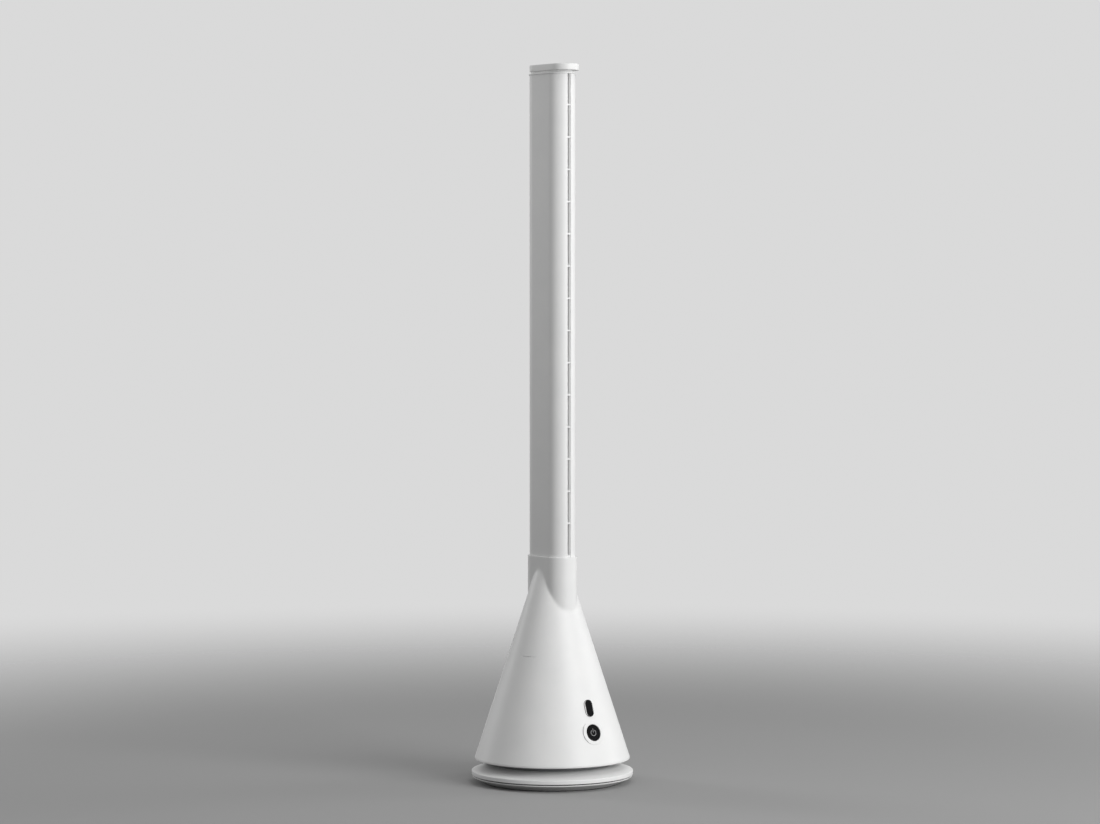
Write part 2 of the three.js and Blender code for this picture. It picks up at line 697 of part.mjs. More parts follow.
function makeConeShell() {
  const outside = makeConeOutside();
  const inside = makeConeInside();
  const boss = onFront(disc(BOSS_RADIUS, -BOSS_DEPTH, BOSS_PROUD, 0, 0, 30), BUTTON_HEIGHT);
  const bosses = deckScrewPlaces().map(([x, y]) => (
    disc(DECK_BOSS_RADIUS, deckTop + CLEARANCE, DECK_BOSS_TOP, x, y)));
  const posts = boardPosts(BOARD_POST_RADIUS, boardFace + CLEARANCE, -BODY_WALL / 2);
  const shell = join(cut(outside, inside), makeShelf(), boss, ...bosses, ...posts);
  const bores = deckScrewPlaces().map(([x, y]) => (
    disc(screwRadius + CLEARANCE, deckTop, deckBottom + boreLength(DECK_SCREW_LENGTH), x, y)));
  const boardBack = boardFace - BOARD_THICKNESS - CLEARANCE;
  const postBores = boardPosts(
    screwRadius + CLEARANCE, boardBack, boardBack + boreLength(BOARD_SCREW_LENGTH));
  const pill = prism(pillOutline(CLEARANCE), -cutterDepth, cutterDepth, 8);
  const buttonBore = disc(BUTTON_RADIUS + CLEARANCE, -cutterDepth, cutterDepth, 0, 0, 30);
  return cut(
    shell,
    onFront(pill, displayHeight),
    onFront(buttonBore, BUTTON_HEIGHT),
    slice(
      0.5 * CONE_BASE_RADIUS,
      1.2 * CONE_BASE_RADIUS,
      180 - GRILLE_HALF_ANGLE,
      180 + GRILLE_HALF_ANGLE,
      GRILLE_BOTTOM,
      GRILLE_TOP,
    ),
    ...makeGrooves(),
    ...bores,
    ...postBores,
  );
}

function makeBaseDeck() {
  const skirtBottom = FOOT_TABLE_HEIGHT + RUNNING_GAP;
  const railBottom = FOOT_TABLE_HEIGHT + 2 * CLEARANCE + GLIDE_THICKNESS;
  const radius = coneRadius(deckTop, BODY_WALL) - CLEARANCE;
  const deck = turned([
    [SPINDLE_BORE, deckBottom],
    [glideInnerRadius, deckBottom],
    [glideInnerRadius, railBottom],
    [glideRadius, railBottom],
    [glideRadius, deckBottom],
    [neckRadius - NECK_WALL, deckBottom],
    [neckRadius - NECK_WALL, skirtBottom],
    [neckRadius, skirtBottom],
    [neckRadius, deckBottom],
    [radius, deckBottom],
    [radius, deckTop],
    [SPINDLE_BORE, deckTop],
  ]);
  const screwHoles = deckScrewPlaces().map(([x, y]) => (
    disc(screwRadius + CLEARANCE, deckBottom - 1, deckTop + 1, x, y)));
  const spindleHoles = spindleScrewPlaces().map(([x, y]) => (
    disc(screwRadius + CLEARANCE, deckBottom - 1, deckTop + 1, x, y)));
  const shaftHole = disc(
    SWIVEL_SHAFT_RADIUS + 2 * CLEARANCE, deckBottom - 1, deckTop + 1, pinionOffset, 0);
  return cut(deck, ...screwHoles, ...spindleHoles, shaftHole);
}

// ---------------------------------------------------------------------------------------------
// Swivel

const pinionOffset = ((GEAR_TEETH + PINION_TEETH) * GEAR_MODULE) / 2 + CLEARANCE;
const pinionReach = pinionOffset + (PINION_TEETH / 2 + TOOTH_TIP) * GEAR_MODULE;
const glideInnerRadius = pinionReach + GLIDE_GAP;
const gearBottom = FOOT_TABLE_HEIGHT + CLEARANCE;
const flangeTop = deckBottom - CLEARANCE;
const spindleScrewOffset = 0.8 * SPINDLE_FLANGE_RADIUS;
const grooveTop = HUB_BOTTOM - CLEARANCE;
const grooveBottom = grooveTop - CLIP_THICKNESS - CLEARANCE;
const spindleBottom = grooveBottom - SPINDLE_TAIL;

function spindleScrewPlaces() {
  return [[0, -spindleScrewOffset], [0, spindleScrewOffset]];
}

function makeSpindle() {
  const grooveRadius = SPINDLE_RADIUS - SPINDLE_GROOVE_DEPTH;
  const axle = turned([
    [SPINDLE_BORE, spindleBottom],
    [SPINDLE_RADIUS, spindleBottom],
    [SPINDLE_RADIUS, grooveBottom],
    [grooveRadius, grooveBottom],
    [grooveRadius, grooveTop + CLEARANCE],
    [SPINDLE_RADIUS, grooveTop + CLEARANCE],
    [SPINDLE_RADIUS, flangeTop - SPINDLE_FLANGE],
    [SPINDLE_FLANGE_RADIUS, flangeTop - SPINDLE_FLANGE],
    [SPINDLE_FLANGE_RADIUS, flangeTop],
    [SPINDLE_BORE, flangeTop],
  ], INNER_FACETS);
  const holes = spindleScrewPlaces().map(([x, y]) => (
    disc(screwRadius + CLEARANCE, flangeTop - SPINDLE_FLANGE - 1, flangeTop + 1, x, y)));
  return cut(axle, ...holes);
}

function makeSpindleClip() {
  const inner = SPINDLE_RADIUS - SPINDLE_GROOVE_DEPTH + CLEARANCE;
  const bottom = grooveTop - CLIP_THICKNESS;
  return join(...[0, 1, 2].map((i) => (
    slice(inner, CLIP_RADIUS, 30 + 100 * i, 30 + 100 * i + CLIP_ARC, bottom, grooveTop))));
}

function makeSwivelGear() {
  return prism(gearShape(GEAR_TEETH, GEAR_BORE_RADIUS), gearBottom, gearBottom + GEAR_WIDTH);
}

function makeDrivePinion() {
  const gear = prism(gearShape(PINION_TEETH, SWIVEL_SHAFT_RADIUS / 2), gearBottom, gearBottom + GEAR_WIDTH);
  gear.rotateZ(Math.PI / PINION_TEETH);
  const shaft = disc(SWIVEL_SHAFT_RADIUS, gearBottom, deckTop + 8);
  return join(gear, shaft).translate(pinionOffset, 0, 0);
}

function makeSwivelMotor() {
  const bottom = deckTop + CLEARANCE;
  const can = disc(SWIVEL_MOTOR_RADIUS, bottom, bottom + SWIVEL_MOTOR_HEIGHT, pinionOffset, 0, INNER_FACETS);
  const ears = block(2.7 * SWIVEL_MOTOR_RADIUS, 8, bottom, bottom + 2, pinionOffset, 0);
  const bore = disc(SWIVEL_SHAFT_RADIUS + CLEARANCE, bottom - 1, deckTop + 9, pinionOffset, 0);
  return cut(join(can, ears), bore);
}

// ---------------------------------------------------------------------------------------------
// Intake

function grilleWedge(margin, bottom, top) {
  const reach = 1.2 * CONE_BASE_RADIUS;
  const start = 180 - GRILLE_HALF_ANGLE + margin;
  const end = 180 + GRILLE_HALF_ANGLE - margin;
  return slice(0.3 * CONE_BASE_RADIUS, reach, start, end, bottom, top);
}

function makeRearGrille() {
  const seam = THREE.MathUtils.radToDeg(CLEARANCE / coneRadius(GRILLE_TOP));
  const lipAngle = THREE.MathUtils.radToDeg(GRILLE_LIP / coneRadius(GRILLE_TOP));
  const lipDepth = BODY_WALL + CLEARANCE;
  const back = lipDepth + GRILLE_LIP_THICKNESS;
  const bottom = GRILLE_BOTTOM + CLEARANCE;
  const top = GRILLE_TOP - CLEARANCE;
  const lipBottom = GRILLE_BOTTOM - GRILLE_LIP;
  const lipTop = GRILLE_TOP + GRILLE_LIP;
  const sheet = coneSheet(0, back, lipBottom, lipTop);
  const plate = overlap(sheet, grilleWedge(-lipAngle, lipBottom - 1, lipTop + 1));
  const shellRoom = cut(
    coneSheet(-BODY_WALL, lipDepth, lipBottom - 1, lipTop + 1),
    grilleWedge(seam, bottom, top),
  );
  const rowPitch = (top - bottom - 2 * GRILLE_FRAME + GRILLE_SLAT) / GRILLE_ROWS;
  const span = 2 * (GRILLE_HALF_ANGLE - GRILLE_RIB_ANGLE);
  const windowAngle = (span + GRILLE_RIB_ANGLE) / GRILLE_WINDOWS;
  const slots = [];
  for (let row = 0; row < GRILLE_ROWS; row += 1) {
    const slotBottom = bottom + GRILLE_FRAME + row * rowPitch;
    for (let column = 0; column < GRILLE_WINDOWS; column += 1) {
      const start = 180 - span / 2 + column * windowAngle;
      const end = start + windowAngle - GRILLE_RIB_ANGLE;
      slots.push(slice(
        0.3 * CONE_BASE_RADIUS,
        1.2 * CONE_BASE_RADIUS,
        start,
        end,
        slotBottom,
        slotBottom + rowPitch - GRILLE_SLAT,
      ));
    }
  }
  return cut(plate, shellRoom, ...slots);
}

function makeDustFilter() {
  const front = BODY_WALL + 2 * CLEARANCE + GRILLE_LIP_THICKNESS;
  const sheet = coneSheet(front, front + FILTER_THICKNESS, GRILLE_BOTTOM, GRILLE_TOP);
  return overlap(sheet, grilleWedge(0, GRILLE_BOTTOM, GRILLE_TOP));
}

// ---------------------------------------------------------------------------------------------
// Fan

const shroudBottom = GRILLE_TOP + SHROUD_RISE;
const shroudTop = shelfBottom - CLEARANCE;
const shroudMouth = shroudBottom + 3 * SHROUD_FLANGE;
const impellerBottom = shroudBottom + IMPELLER_RISE;
const impellerTop = impellerBottom + IMPELLER_HEIGHT;
const fanMotorBottom = impellerTop + FAN_MOTOR_RISE;
const motorTop = fanMotorBottom + FAN_MOTOR_HEIGHT;
const cupInside = FAN_MOTOR_RADIUS + DAMPER_THICKNESS + 2 * CLEARANCE;
const cupOutside = cupInside + SHROUD_WALL;
const cupTop = motorTop + CLEARANCE + SHROUD_WALL;
const shroudThroat = cupTop + THROAT_RISE;
const shroudMouthRadius = coneRadius(shroudMouth, BODY_WALL) - SHROUD_MOUTH_GAP;
const shroudThroatRadius = coneRadius(shroudThroat, BODY_WALL) - SHROUD_THROAT_GAP;
const shroudOutletRadius = coneRadius(shroudTop, BODY_WALL) - SHROUD_OUTLET_GAP;

// The duct's inner radius at a height.
function shroudRadius(height) {
  if (height < shroudThroat) {
    const share = (height - shroudMouth) / (shroudThroat - shroudMouth);
    return THREE.MathUtils.lerp(shroudMouthRadius, shroudThroatRadius, share);
  }
  const share = (height - shroudThroat) / (shroudTop - shroudThroat);
  return THREE.MathUtils.lerp(shroudThroatRadius, shroudOutletRadius, share);
}

function motorLeadPoints() {
  const wallMiddle = (height) => (
    (shroudRadius(height) + SHROUD_WALL + coneRadius(height, BODY_WALL)) / 2);
  const flangeMiddle = shroudBottom + SHROUD_FLANGE / 2;
  const entry = shroudThroat + MOTOR_LEAD_RISE;
  return [
    boardPoint(boardAboveButton + BOARD_LENGTH / 2 + CLEARANCE),
    boardPoint(boardAboveButton + BOARD_LENGTH / 2 + 5),
    [0, -wallMiddle(shroudMouth) - 4, flangeMiddle],
    [0, -wallMiddle(impellerTop), impellerTop],
    [0, -wallMiddle(motorTop), motorTop],
    [0, -shroudRadius(entry) - SHROUD_WALL / 2, entry],
    [0, -8, entry],
    [0, 0, entry - 6],
    [0, 0, motorTop + CLEARANCE],
  ];
}

function makeFanShroud() {
  const flangeRadius = coneRadius(shroudBottom + SHROUD_FLANGE, BODY_WALL) - CLEARANCE;
  const mouth = shroudMouthRadius + SHROUD_WALL;
  const duct = turned([
    [mouth + 8, shroudBottom],
    [flangeRadius, shroudBottom],
    [flangeRadius, shroudBottom + SHROUD_FLANGE],
    [mouth + 5, shroudBottom + SHROUD_FLANGE],
    [mouth, shroudMouth + 4],
    [shroudThroatRadius + SHROUD_WALL, shroudThroat],
    [shroudOutletRadius + SHROUD_WALL, shroudTop],
    [shroudOutletRadius, shroudTop],
    [shroudThroatRadius, shroudThroat],
    [shroudMouthRadius, shroudMouth],
  ], INNER_FACETS);
  return cut(duct, tube(motorLeadPoints(), LEAD_RADIUS + 2 * CLEARANCE, 26));
}

function impellerHubRadius(height) {
  const share = (height - impellerBottom) / (impellerTop - impellerBottom);
  return THREE.MathUtils.lerp(IMPELLER_HUB_RADIUS, IMPELLER_BACK_RADIUS, share);
}

function makeImpeller() {
  const hub = turned([
    [0, impellerBottom],
    [IMPELLER_HUB_RADIUS, impellerBottom],
    [IMPELLER_BACK_RADIUS, impellerTop],
    [0, impellerTop],
  ], INNER_FACETS);
  const sweep = turned([
    [impellerHubRadius(impellerBottom + 2) - 2, impellerBottom + 1],
    [shroudRadius(impellerBottom + 1) - IMPELLER_TIP_GAP, impellerBottom + 1],
    [shroudRadius(impellerTop - 1) - IMPELLER_TIP_GAP, impellerTop - 1],
    [impellerHubRadius(impellerTop - 2) - 2, impellerTop - 1],
  ], INNER_FACETS);
  const middle = (impellerBottom + impellerTop) / 2;
  const blades = around(BLADE_COUNT, (angle) => {
    const length = shroudMouthRadius;
    const plate = new THREE.BoxGeometry(length, BLADE_THICKNESS, 60).translate(length / 2, 0, 0);
    plate.rotateX(THREE.MathUtils.degToRad(90 - BLADE_PITCH));
    return overlap(sweep, plate.rotateZ(angle).translate(0, 0, middle));
  });
  const bore = disc(SHAFT_RADIUS + CLEARANCE, impellerBottom - 1, impellerTop + 1);
  return cut(join(hub, ...blades), bore);
}

function makeMotorShaft() {
  return disc(SHAFT_RADIUS, impellerBottom - 6, fanMotorBottom + 18);
}

function makeImpellerNut() {
  const top = impellerBottom - CLEARANCE;
  const nut = disc(2.2 * SHAFT_RADIUS, top - 4, top, 0, 0, 6);
  return cut(nut, disc(SHAFT_RADIUS + CLEARANCE, top - 5, top + 1));
}

function makeFanMotor() {
  const can = turned([
    [0, fanMotorBottom],
    [0.6 * FAN_MOTOR_RADIUS, fanMotorBottom],
    [FAN_MOTOR_RADIUS, fanMotorBottom + 3],
    [FAN_MOTOR_RADIUS, motorTop],
    [0, motorTop],
  ], INNER_FACETS);
  return cut(can, disc(SHAFT_RADIUS + CLEARANCE, fanMotorBottom - 1, fanMotorBottom + 20));
}

function makeMotorDamper() {
  const inner = FAN_MOTOR_RADIUS + CLEARANCE;
  const bottom = fanMotorBottom + 5;
  const top = motorTop - 4;
  return turned([
    [inner, bottom],
    [inner + DAMPER_THICKNESS, bottom],
    [inner + DAMPER_THICKNESS, top],
    [inner, top],
  ], INNER_FACETS);
}

function makeDiffuser() {
  const vaneTop = cupTop + 4;
  const vaneBottom = vaneTop - VANE_HEIGHT;
  const cup = turned([
    [cupInside, fanMotorBottom + 3],
    [cupOutside, fanMotorBottom + 3],
    [cupOutside, cupTop - 3],
    [cupOutside - 4, cupTop],
    [LEAD_RADIUS + CLEARANCE, cupTop],
    [LEAD_RADIUS + CLEARANCE, cupTop - SHROUD_WALL],
    [cupInside, cupTop - SHROUD_WALL],
  ], INNER_FACETS);
  const ringOutside = (height) => shroudRadius(height) - CLEARANCE;
  const ring = turned([
    [ringOutside(vaneBottom) - SHROUD_WALL, vaneBottom],
    [ringOutside(vaneBottom), vaneBottom],
    [ringOutside(shroudThroat), shroudThroat],
    [ringOutside(shroudThroat) - SHROUD_WALL, shroudThroat],
  ], INNER_FACETS);
  const sweep = turned([
    [cupOutside - 1, vaneBottom + 1],
    [ringOutside(vaneBottom + 1) - 1, vaneBottom + 1],
    [ringOutside(shroudThroat) - 1, shroudThroat - 1],
    [cupOutside - 5, shroudThroat - 1],
  ], INNER_FACETS);
  const reach = shroudThroatRadius;
  const vanes = around(VANE_COUNT, (angle) => {
    const plate = new THREE.BoxGeometry(reach, VANE_THICKNESS, 60).translate(reach / 2 + 12, 0, 0);
    plate.rotateX(THREE.MathUtils.degToRad(-20));
    return overlap(sweep, plate.rotateZ(angle).translate(0, 0, (vaneBottom + shroudThroat) / 2));
  });
  const motorRoom = disc(cupInside, fanMotorBottom, cupTop - SHROUD_WALL, 0, 0, INNER_FACETS);
  return join(cut(join(ring, ...vanes), motorRoom), cup);
}

// ---------------------------------------------------------------------------------------------
// Display, button and board

function makeDisplayWindow() {
  const lens = prism(pillOutline(0), -DISPLAY_THICKNESS, DISPLAY_PROUD, 8);
  const flangeTop = -DISPLAY_THICKNESS - CLEARANCE / 2;
  const flangeBottom = flangeTop - DISPLAY_FLANGE_THICKNESS;
  const step = prism(pillOutline(0), flangeBottom, -1, 8);
  const flange = prism(pillOutline(DISPLAY_FLANGE), flangeBottom, flangeTop, 4);
  return onFront(join(lens, step, flange), displayHeight);
}

const displayBack = -DISPLAY_THICKNESS - CLEARANCE / 2 - DISPLAY_FLANGE_THICKNESS;
const displayUp = (displayHeight - BUTTON_HEIGHT) / coneCos;

function makeDisplayModule() {
  const bottom = boardFace + CLEARANCE;
  const module = block(DISPLAY_WIDTH, DISPLAY_LENGTH, bottom, displayBack - CLEARANCE, 0, displayUp);
  return onFront(module, BUTTON_HEIGHT);
}

function makeControlBoard() {
  const board = block(
    BOARD_WIDTH, BOARD_LENGTH, boardFace - BOARD_THICKNESS, boardFace, 0, boardAboveButton);
  const back = boardFace - BOARD_THICKNESS;
  const holes = boardPostPlaces.map(([x, y]) => (
    disc(screwRadius + CLEARANCE, back - 1, boardFace + 1, x, y)));
  return onFront(cut(board, ...holes), BUTTON_HEIGHT);
}

const switchTop = boardFace + CLEARANCE + SWITCH_HEIGHT;
const stemTip = switchTop - BUTTON_TRAVEL;

function makeTactSwitch() {
  const body = block(SWITCH_WIDTH, SWITCH_WIDTH, boardFace + CLEARANCE, switchTop);
  const well = disc(
    BUTTON_STEM_RADIUS + CLEARANCE, stemTip - BUTTON_TRAVEL - CLEARANCE, switchTop + 1, 0, 0, 12);
  return onFront(cut(body, well), BUTTON_HEIGHT);
}

function makePowerButton() {
  const face = BOSS_PROUD - BUTTON_RECESS;
  const flangeTop = -BOSS_DEPTH - CLEARANCE;
  const flangeBottom = flangeTop - BUTTON_FLANGE_THICKNESS;
  const button = turned([
    [0, stemTip],
    [BUTTON_STEM_RADIUS, stemTip],
    [BUTTON_STEM_RADIUS, flangeBottom],
    [BUTTON_RADIUS + BUTTON_FLANGE, flangeBottom],
    [BUTTON_RADIUS + BUTTON_FLANGE, flangeTop],
    [BUTTON_RADIUS, flangeTop],
    [BUTTON_RADIUS, face - BUTTON_EDGE_ROUND],
    [BUTTON_RADIUS - BUTTON_EDGE_ROUND, face],
    [0, face],
  ], 30);
  return onFront(button, BUTTON_HEIGHT);
}

function makeBoardLead() {
  const edge = boardAboveButton - BOARD_LENGTH / 2;
  const points = [
    [0, 0, deckTop + CLEARANCE],
    [0, 0, deckTop + 4],
    [0, -9, deckTop + 9],
    [0, -0.6 * CONE_BASE_RADIUS, deckTop + 6],
    boardPoint(edge - 6),
    boardPoint(edge - CLEARANCE),
  ];
  return tube(points, LEAD_RADIUS, 18);
}

// ---------------------------------------------------------------------------------------------
// Column

const slotBottom = COLLAR_TOP + SLOT_START;
const slotPitch = (COLUMN_TOP - BRIDGE_TOP_GAP - slotBottom) / BRIDGE_COUNT;
const sealBottom = COLUMN_SHELF + CLEARANCE;
const columnBottom = sealBottom + SEAL_THICKNESS + CLEARANCE;
const noseY = -COLUMN_HALF_FLAT - COLUMN_END_RADIUS;
const throatHalf = SLOT_THROAT / 2;
const mouthHalf = SLOT_MOUTH / 2;
const mouthY = -COLUMN_HALF_FLAT - Math.sqrt(COLUMN_END_RADIUS ** 2 - mouthHalf ** 2);
const throatY = noseY + SLOT_DEPTH;
const plugEndRadius = COLUMN_END_RADIUS - COLUMN_WALL - CLEARANCE;

// The column's section: a racetrack tube whose front edges slope in to the slot's throat.
function columnOutline() {
  const inner = COLUMN_END_RADIUS - COLUMN_WALL;
  const lipHalf = throatHalf + SLOT_LIP;
  const mouthAngle = Math.asin(mouthHalf / COLUMN_END_RADIUS);
  const lipAngle = Math.asin(lipHalf / inner);
  const down = -Math.PI / 2;
  const shape = new THREE.Shape();
  shape.moveTo(throatHalf, throatY);
  shape.lineTo(mouthHalf, mouthY);
  shape.absarc(0, -COLUMN_HALF_FLAT, COLUMN_END_RADIUS, down + mouthAngle, 0, false);
  shape.absarc(0, COLUMN_HALF_FLAT, COLUMN_END_RADIUS, 0, Math.PI, false);
  shape.absarc(0, -COLUMN_HALF_FLAT, COLUMN_END_RADIUS, Math.PI, 3 * Math.PI / 2 - mouthAngle, false);
  shape.lineTo(-throatHalf, throatY);
  shape.lineTo(-lipHalf, throatY);
  shape.absarc(0, -COLUMN_HALF_FLAT, inner, 3 * Math.PI / 2 - lipAngle, Math.PI, true);
  shape.absarc(0, COLUMN_HALF_FLAT, inner, Math.PI, 0, true);
  shape.absarc(0, -COLUMN_HALF_FLAT, inner, 0, down + lipAngle, true);
  shape.lineTo(lipHalf, throatY);
  shape.closePath();
  return shape;
}

// Half the slot's width at a distance from the front.
function slotHalfWidth(y) {
  return THREE.MathUtils.mapLinear(y, throatY, mouthY, throatHalf, mouthHalf);
}

// One bar of the ladder, which fills the slot's funnel from its recessed face to the strip behind.
function bridgeOutline() {
  const front = noseY + BRIDGE_RECESS;
  const side = [
    [slotHalfWidth(front) - CLEARANCE, front],
    [throatHalf - CLEARANCE, throatY],
    [throatHalf - CLEARANCE, throatY + CLEARANCE + STRIP_THICKNESS / 2],
  ];
  const outline = [...side, ...side.map(([x, y]) => [-x, y]).reverse()];
  return new THREE.Shape(outline.map(([x, y]) => new THREE.Vector2(x, y)));
}

function makeNozzleStrip() {
  const stripY = throatY + CLEARANCE + STRIP_THICKNESS / 2;
  const railWidth = STRIP_HALF_WIDTH - throatHalf;
  const rails = [-1, 1].map((side) => block(
    railWidth,
    STRIP_THICKNESS,
    columnBottom,
    COLUMN_TOP,
    side * (throatHalf + railWidth / 2),
    stripY,
  ));
  const ties = [];
  const bars = [prism(bridgeOutline(), columnBottom, slotBottom)];
  const tie = (bottom, top) => block(2 * STRIP_HALF_WIDTH, STRIP_THICKNESS, bottom, top, 0, stripY);
  ties.push(tie(columnBottom, slotBottom));
  for (let i = 1; i <= BRIDGE_COUNT; i += 1) {
    const bottom = slotBottom + i * slotPitch - BRIDGE_HEIGHT / 2;
    bars.push(prism(bridgeOutline(), bottom, bottom + BRIDGE_HEIGHT));
    ties.push(tie(bottom, bottom + BRIDGE_HEIGHT));
  }
  return join(...rails, ...ties, ...bars);
}

// A racetrack ring with its front cut away behind the slot.
function plugRing(endRadius, wall, bottom, top, front) {
  const ring = racetrack(endRadius, COLUMN_HALF_FLAT);
  ring.holes.push(racetrack(endRadius - wall, COLUMN_HALF_FLAT));
  const frontCut = block(200, 200, bottom - 1, top + 1, 0, -front - 100);
  return cut(prism(ring, bottom, top), frontCut);
}

function makeColumnSeal() {
  const outline = racetrack(COLUMN_END_RADIUS - CLEARANCE, COLUMN_HALF_FLAT);
  outline.holes.push(racetrack(DUCT_HALF_WIDTH, DUCT_HALF_FLAT));
  const seal = prism(outline, sealBottom, sealBottom + SEAL_THICKNESS);
  const holes = columnScrewPlaces().map(([x, y]) => (
    disc(screwRadius + CLEARANCE, sealBottom - 1, columnBottom, x, y)));
  return cut(seal, ...holes);
}

function makeColumnFoot() {
  const top = columnBottom + PLUG_HEIGHT;
  const outline = racetrack(plugEndRadius, COLUMN_HALF_FLAT);
  outline.holes.push(racetrack(DUCT_HALF_WIDTH, DUCT_HALF_FLAT));
  const frontCut = block(200, 200, columnBottom - 1, top + 1, 0, -PLUG_FRONT - 100);
  const bores = columnScrewPlaces().map(([x, y]) => (
    disc(screwRadius + CLEARANCE, columnBottom - 1, shelfBottom + boreLength(COLUMN_SCREW_LENGTH), x, y)));
  return cut(prism(outline, columnBottom, top), frontCut, ...bores);
}

function makeAirGuide() {
  const bottom = columnBottom + PLUG_HEIGHT + CLEARANCE;
  const top = COLUMN_TOP + CLEARANCE - SPIGOT_HEIGHT - CLEARANCE;
  return plugRing(plugEndRadius, GUIDE_WALL, bottom, top, COLUMN_HALF_FLAT);
}

// ---------------------------------------------------------------------------------------------
// Lid

const lidRingBottom = COLUMN_TOP + CLEARANCE;
const bandBottom = lidRingBottom + RING_HEIGHT + CLEARANCE;
const lidBottom = bandBottom + NECK_BAND_HEIGHT + CLEARANCE;

function lidScrewPlaces() {
  return [[0, -LID_SCREW_OFFSET], [0, LID_SCREW_OFFSET]];
}

function lidScrewBores(bottom, top) {
  return lidScrewPlaces().map(([x, y]) => disc(screwRadius + CLEARANCE, bottom, top, x, y));
}

function makeTopRing() {
  const outline = racetrack(COLUMN_END_RADIUS + RING_PROUD, COLUMN_HALF_FLAT);
  const plate = prism(outline, lidRingBottom, lidRingBottom + RING_HEIGHT, 12);
  const spigot = plugRing(
    plugEndRadius, PLUG_WALL, lidRingBottom - SPIGOT_HEIGHT, lidRingBottom + 1, PLUG_FRONT);
  return cut(join(plate, spigot), ...lidScrewBores(lidRingBottom - 1, bandBottom));
}

function makeCapNeck() {
  const outline = racetrack(COLUMN_END_RADIUS - NECK_BAND_INSET, COLUMN_HALF_FLAT);
  const band = prism(outline, bandBottom, bandBottom + NECK_BAND_HEIGHT, 12);
  return cut(band, ...lidScrewBores(bandBottom - 1, lidBottom));
}

function makeTopCap() {
  const outline = racetrack(
    COLUMN_END_RADIUS - LID_EDGE_ROUND, COLUMN_HALF_FLAT, LID_OVERHANG);
  const lid = new THREE.ExtrudeGeometry(outline, {
    depth: LID_HEIGHT - 2 * LID_EDGE_ROUND,
    bevelThickness: LID_EDGE_ROUND,
    bevelSize: LID_EDGE_ROUND,
    bevelSegments: 2,
    curveSegments: 12,
  });
  lid.translate(0, 0, lidBottom + LID_EDGE_ROUND);
  return cut(lid, ...lidScrewBores(lidBottom - 1, lidRingBottom + boreLength(LID_SCREW_LENGTH)));
}

// ---------------------------------------------------------------------------------------------
// Assembly

add('foot_cover', makeFootCover(), whitePlastic);
add('foot_pan', makeFootPan(), whitePlastic);
add('ballast_plate', makeBallastPlate(), castIron);
add('foot_ring', makeFootRing(), rubber);
add('glide_ring', makeGlideRing(), nylon);
add('swivel_gear', makeSwivelGear(), nylon);
add('power_inlet', makePowerInlet(), darkPlastic);
add('inlet_pin_left', inletPin(-1, PIN_RADIUS, INLET_DEPTH - SOCKET_DEPTH + PIN_LENGTH), brass);
add('inlet_pin_right', inletPin(1, PIN_RADIUS, INLET_DEPTH - SOCKET_DEPTH + PIN_LENGTH), brass);
add('supply_lead', makeSupplyLead(), rubber);
footScrewPlaces().forEach(([x, y], i) => {
  const geometry = screw(footScrewHeadRadius, footScrewHead, footScrewRadius, FOOT_SCREW_LENGTH);
  const mesh = add(`foot_screw_${i + 1}`, geometry, steel);
  mesh.position.set(x, y, PAN_BOTTOM_HEIGHT + CLEARANCE);
});

add('cone_shell', makeConeShell(), whitePlastic);
add('base_deck', makeBaseDeck(), greyPlastic);
add('spindle', makeSpindle(), steel);
add('spindle_clip', makeSpindleClip(), steel);
deckScrewPlaces().forEach(([x, y], i) => {
  const geometry = screw(screwHeadRadius, screwHead, screwRadius, DECK_SCREW_LENGTH);
  const mesh = add(`deck_screw_${i + 1}`, geometry, steel);
  mesh.position.set(x, y, deckBottom - CLEARANCE - screwHead);
});
spindleScrewPlaces().forEach(([x, y], i) => {
  const geometry = screw(screwHeadRadius, screwHead, screwRadius, SPINDLE_SCREW_LENGTH);
  const mesh = add(`spindle_screw_${i + 1}`, geometry, steel);
  mesh.rotation.x = Math.PI;
  mesh.position.set(x, y, deckTop + CLEARANCE + screwHead);
});
add('swivel_motor', makeSwivelMotor(), greyPlastic);
add('drive_pinion', makeDrivePinion(), nylon);
add('rear_grille', makeRearGrille(), whitePlastic);
add('dust_filter', makeDustFilter(), foam);

add('fan_shroud', makeFanShroud(), darkPlastic);
add('diffuser', makeDiffuser(), darkPlastic);
add('fan_motor', makeFanMotor(), steel);
add('motor_damper', makeMotorDamper(), rubber);
add('impeller', makeImpeller(), darkPlastic);
add('motor_shaft', makeMotorShaft(), steel);
add('impeller_nut', makeImpellerNut(), brass);
add('motor_lead', tube(motorLeadPoints(), LEAD_RADIUS, 26), rubber);

add('display_window', makeDisplayWindow(), glossBlack);
add('display_module', makeDisplayModule(), greyPlastic);
add('control_board', makeControlBoard(), circuitGreen);
add('tact_switch', makeTactSwitch(), darkPlastic);
add('power_button', makePowerButton(), glossBlack);
add('board_lead', makeBoardLead(), rubber);
boardPostPlaces.forEach(([x, y], i) => {
  const geometry = screw(screwHeadRadius, screwHead, screwRadius, BOARD_SCREW_LENGTH);
  geometry.translate(x, y, boardFace - BOARD_THICKNESS - CLEARANCE - screwHead);
  add(`board_screw_${i + 1}`, onFront(geometry, BUTTON_HEIGHT), steel);
});

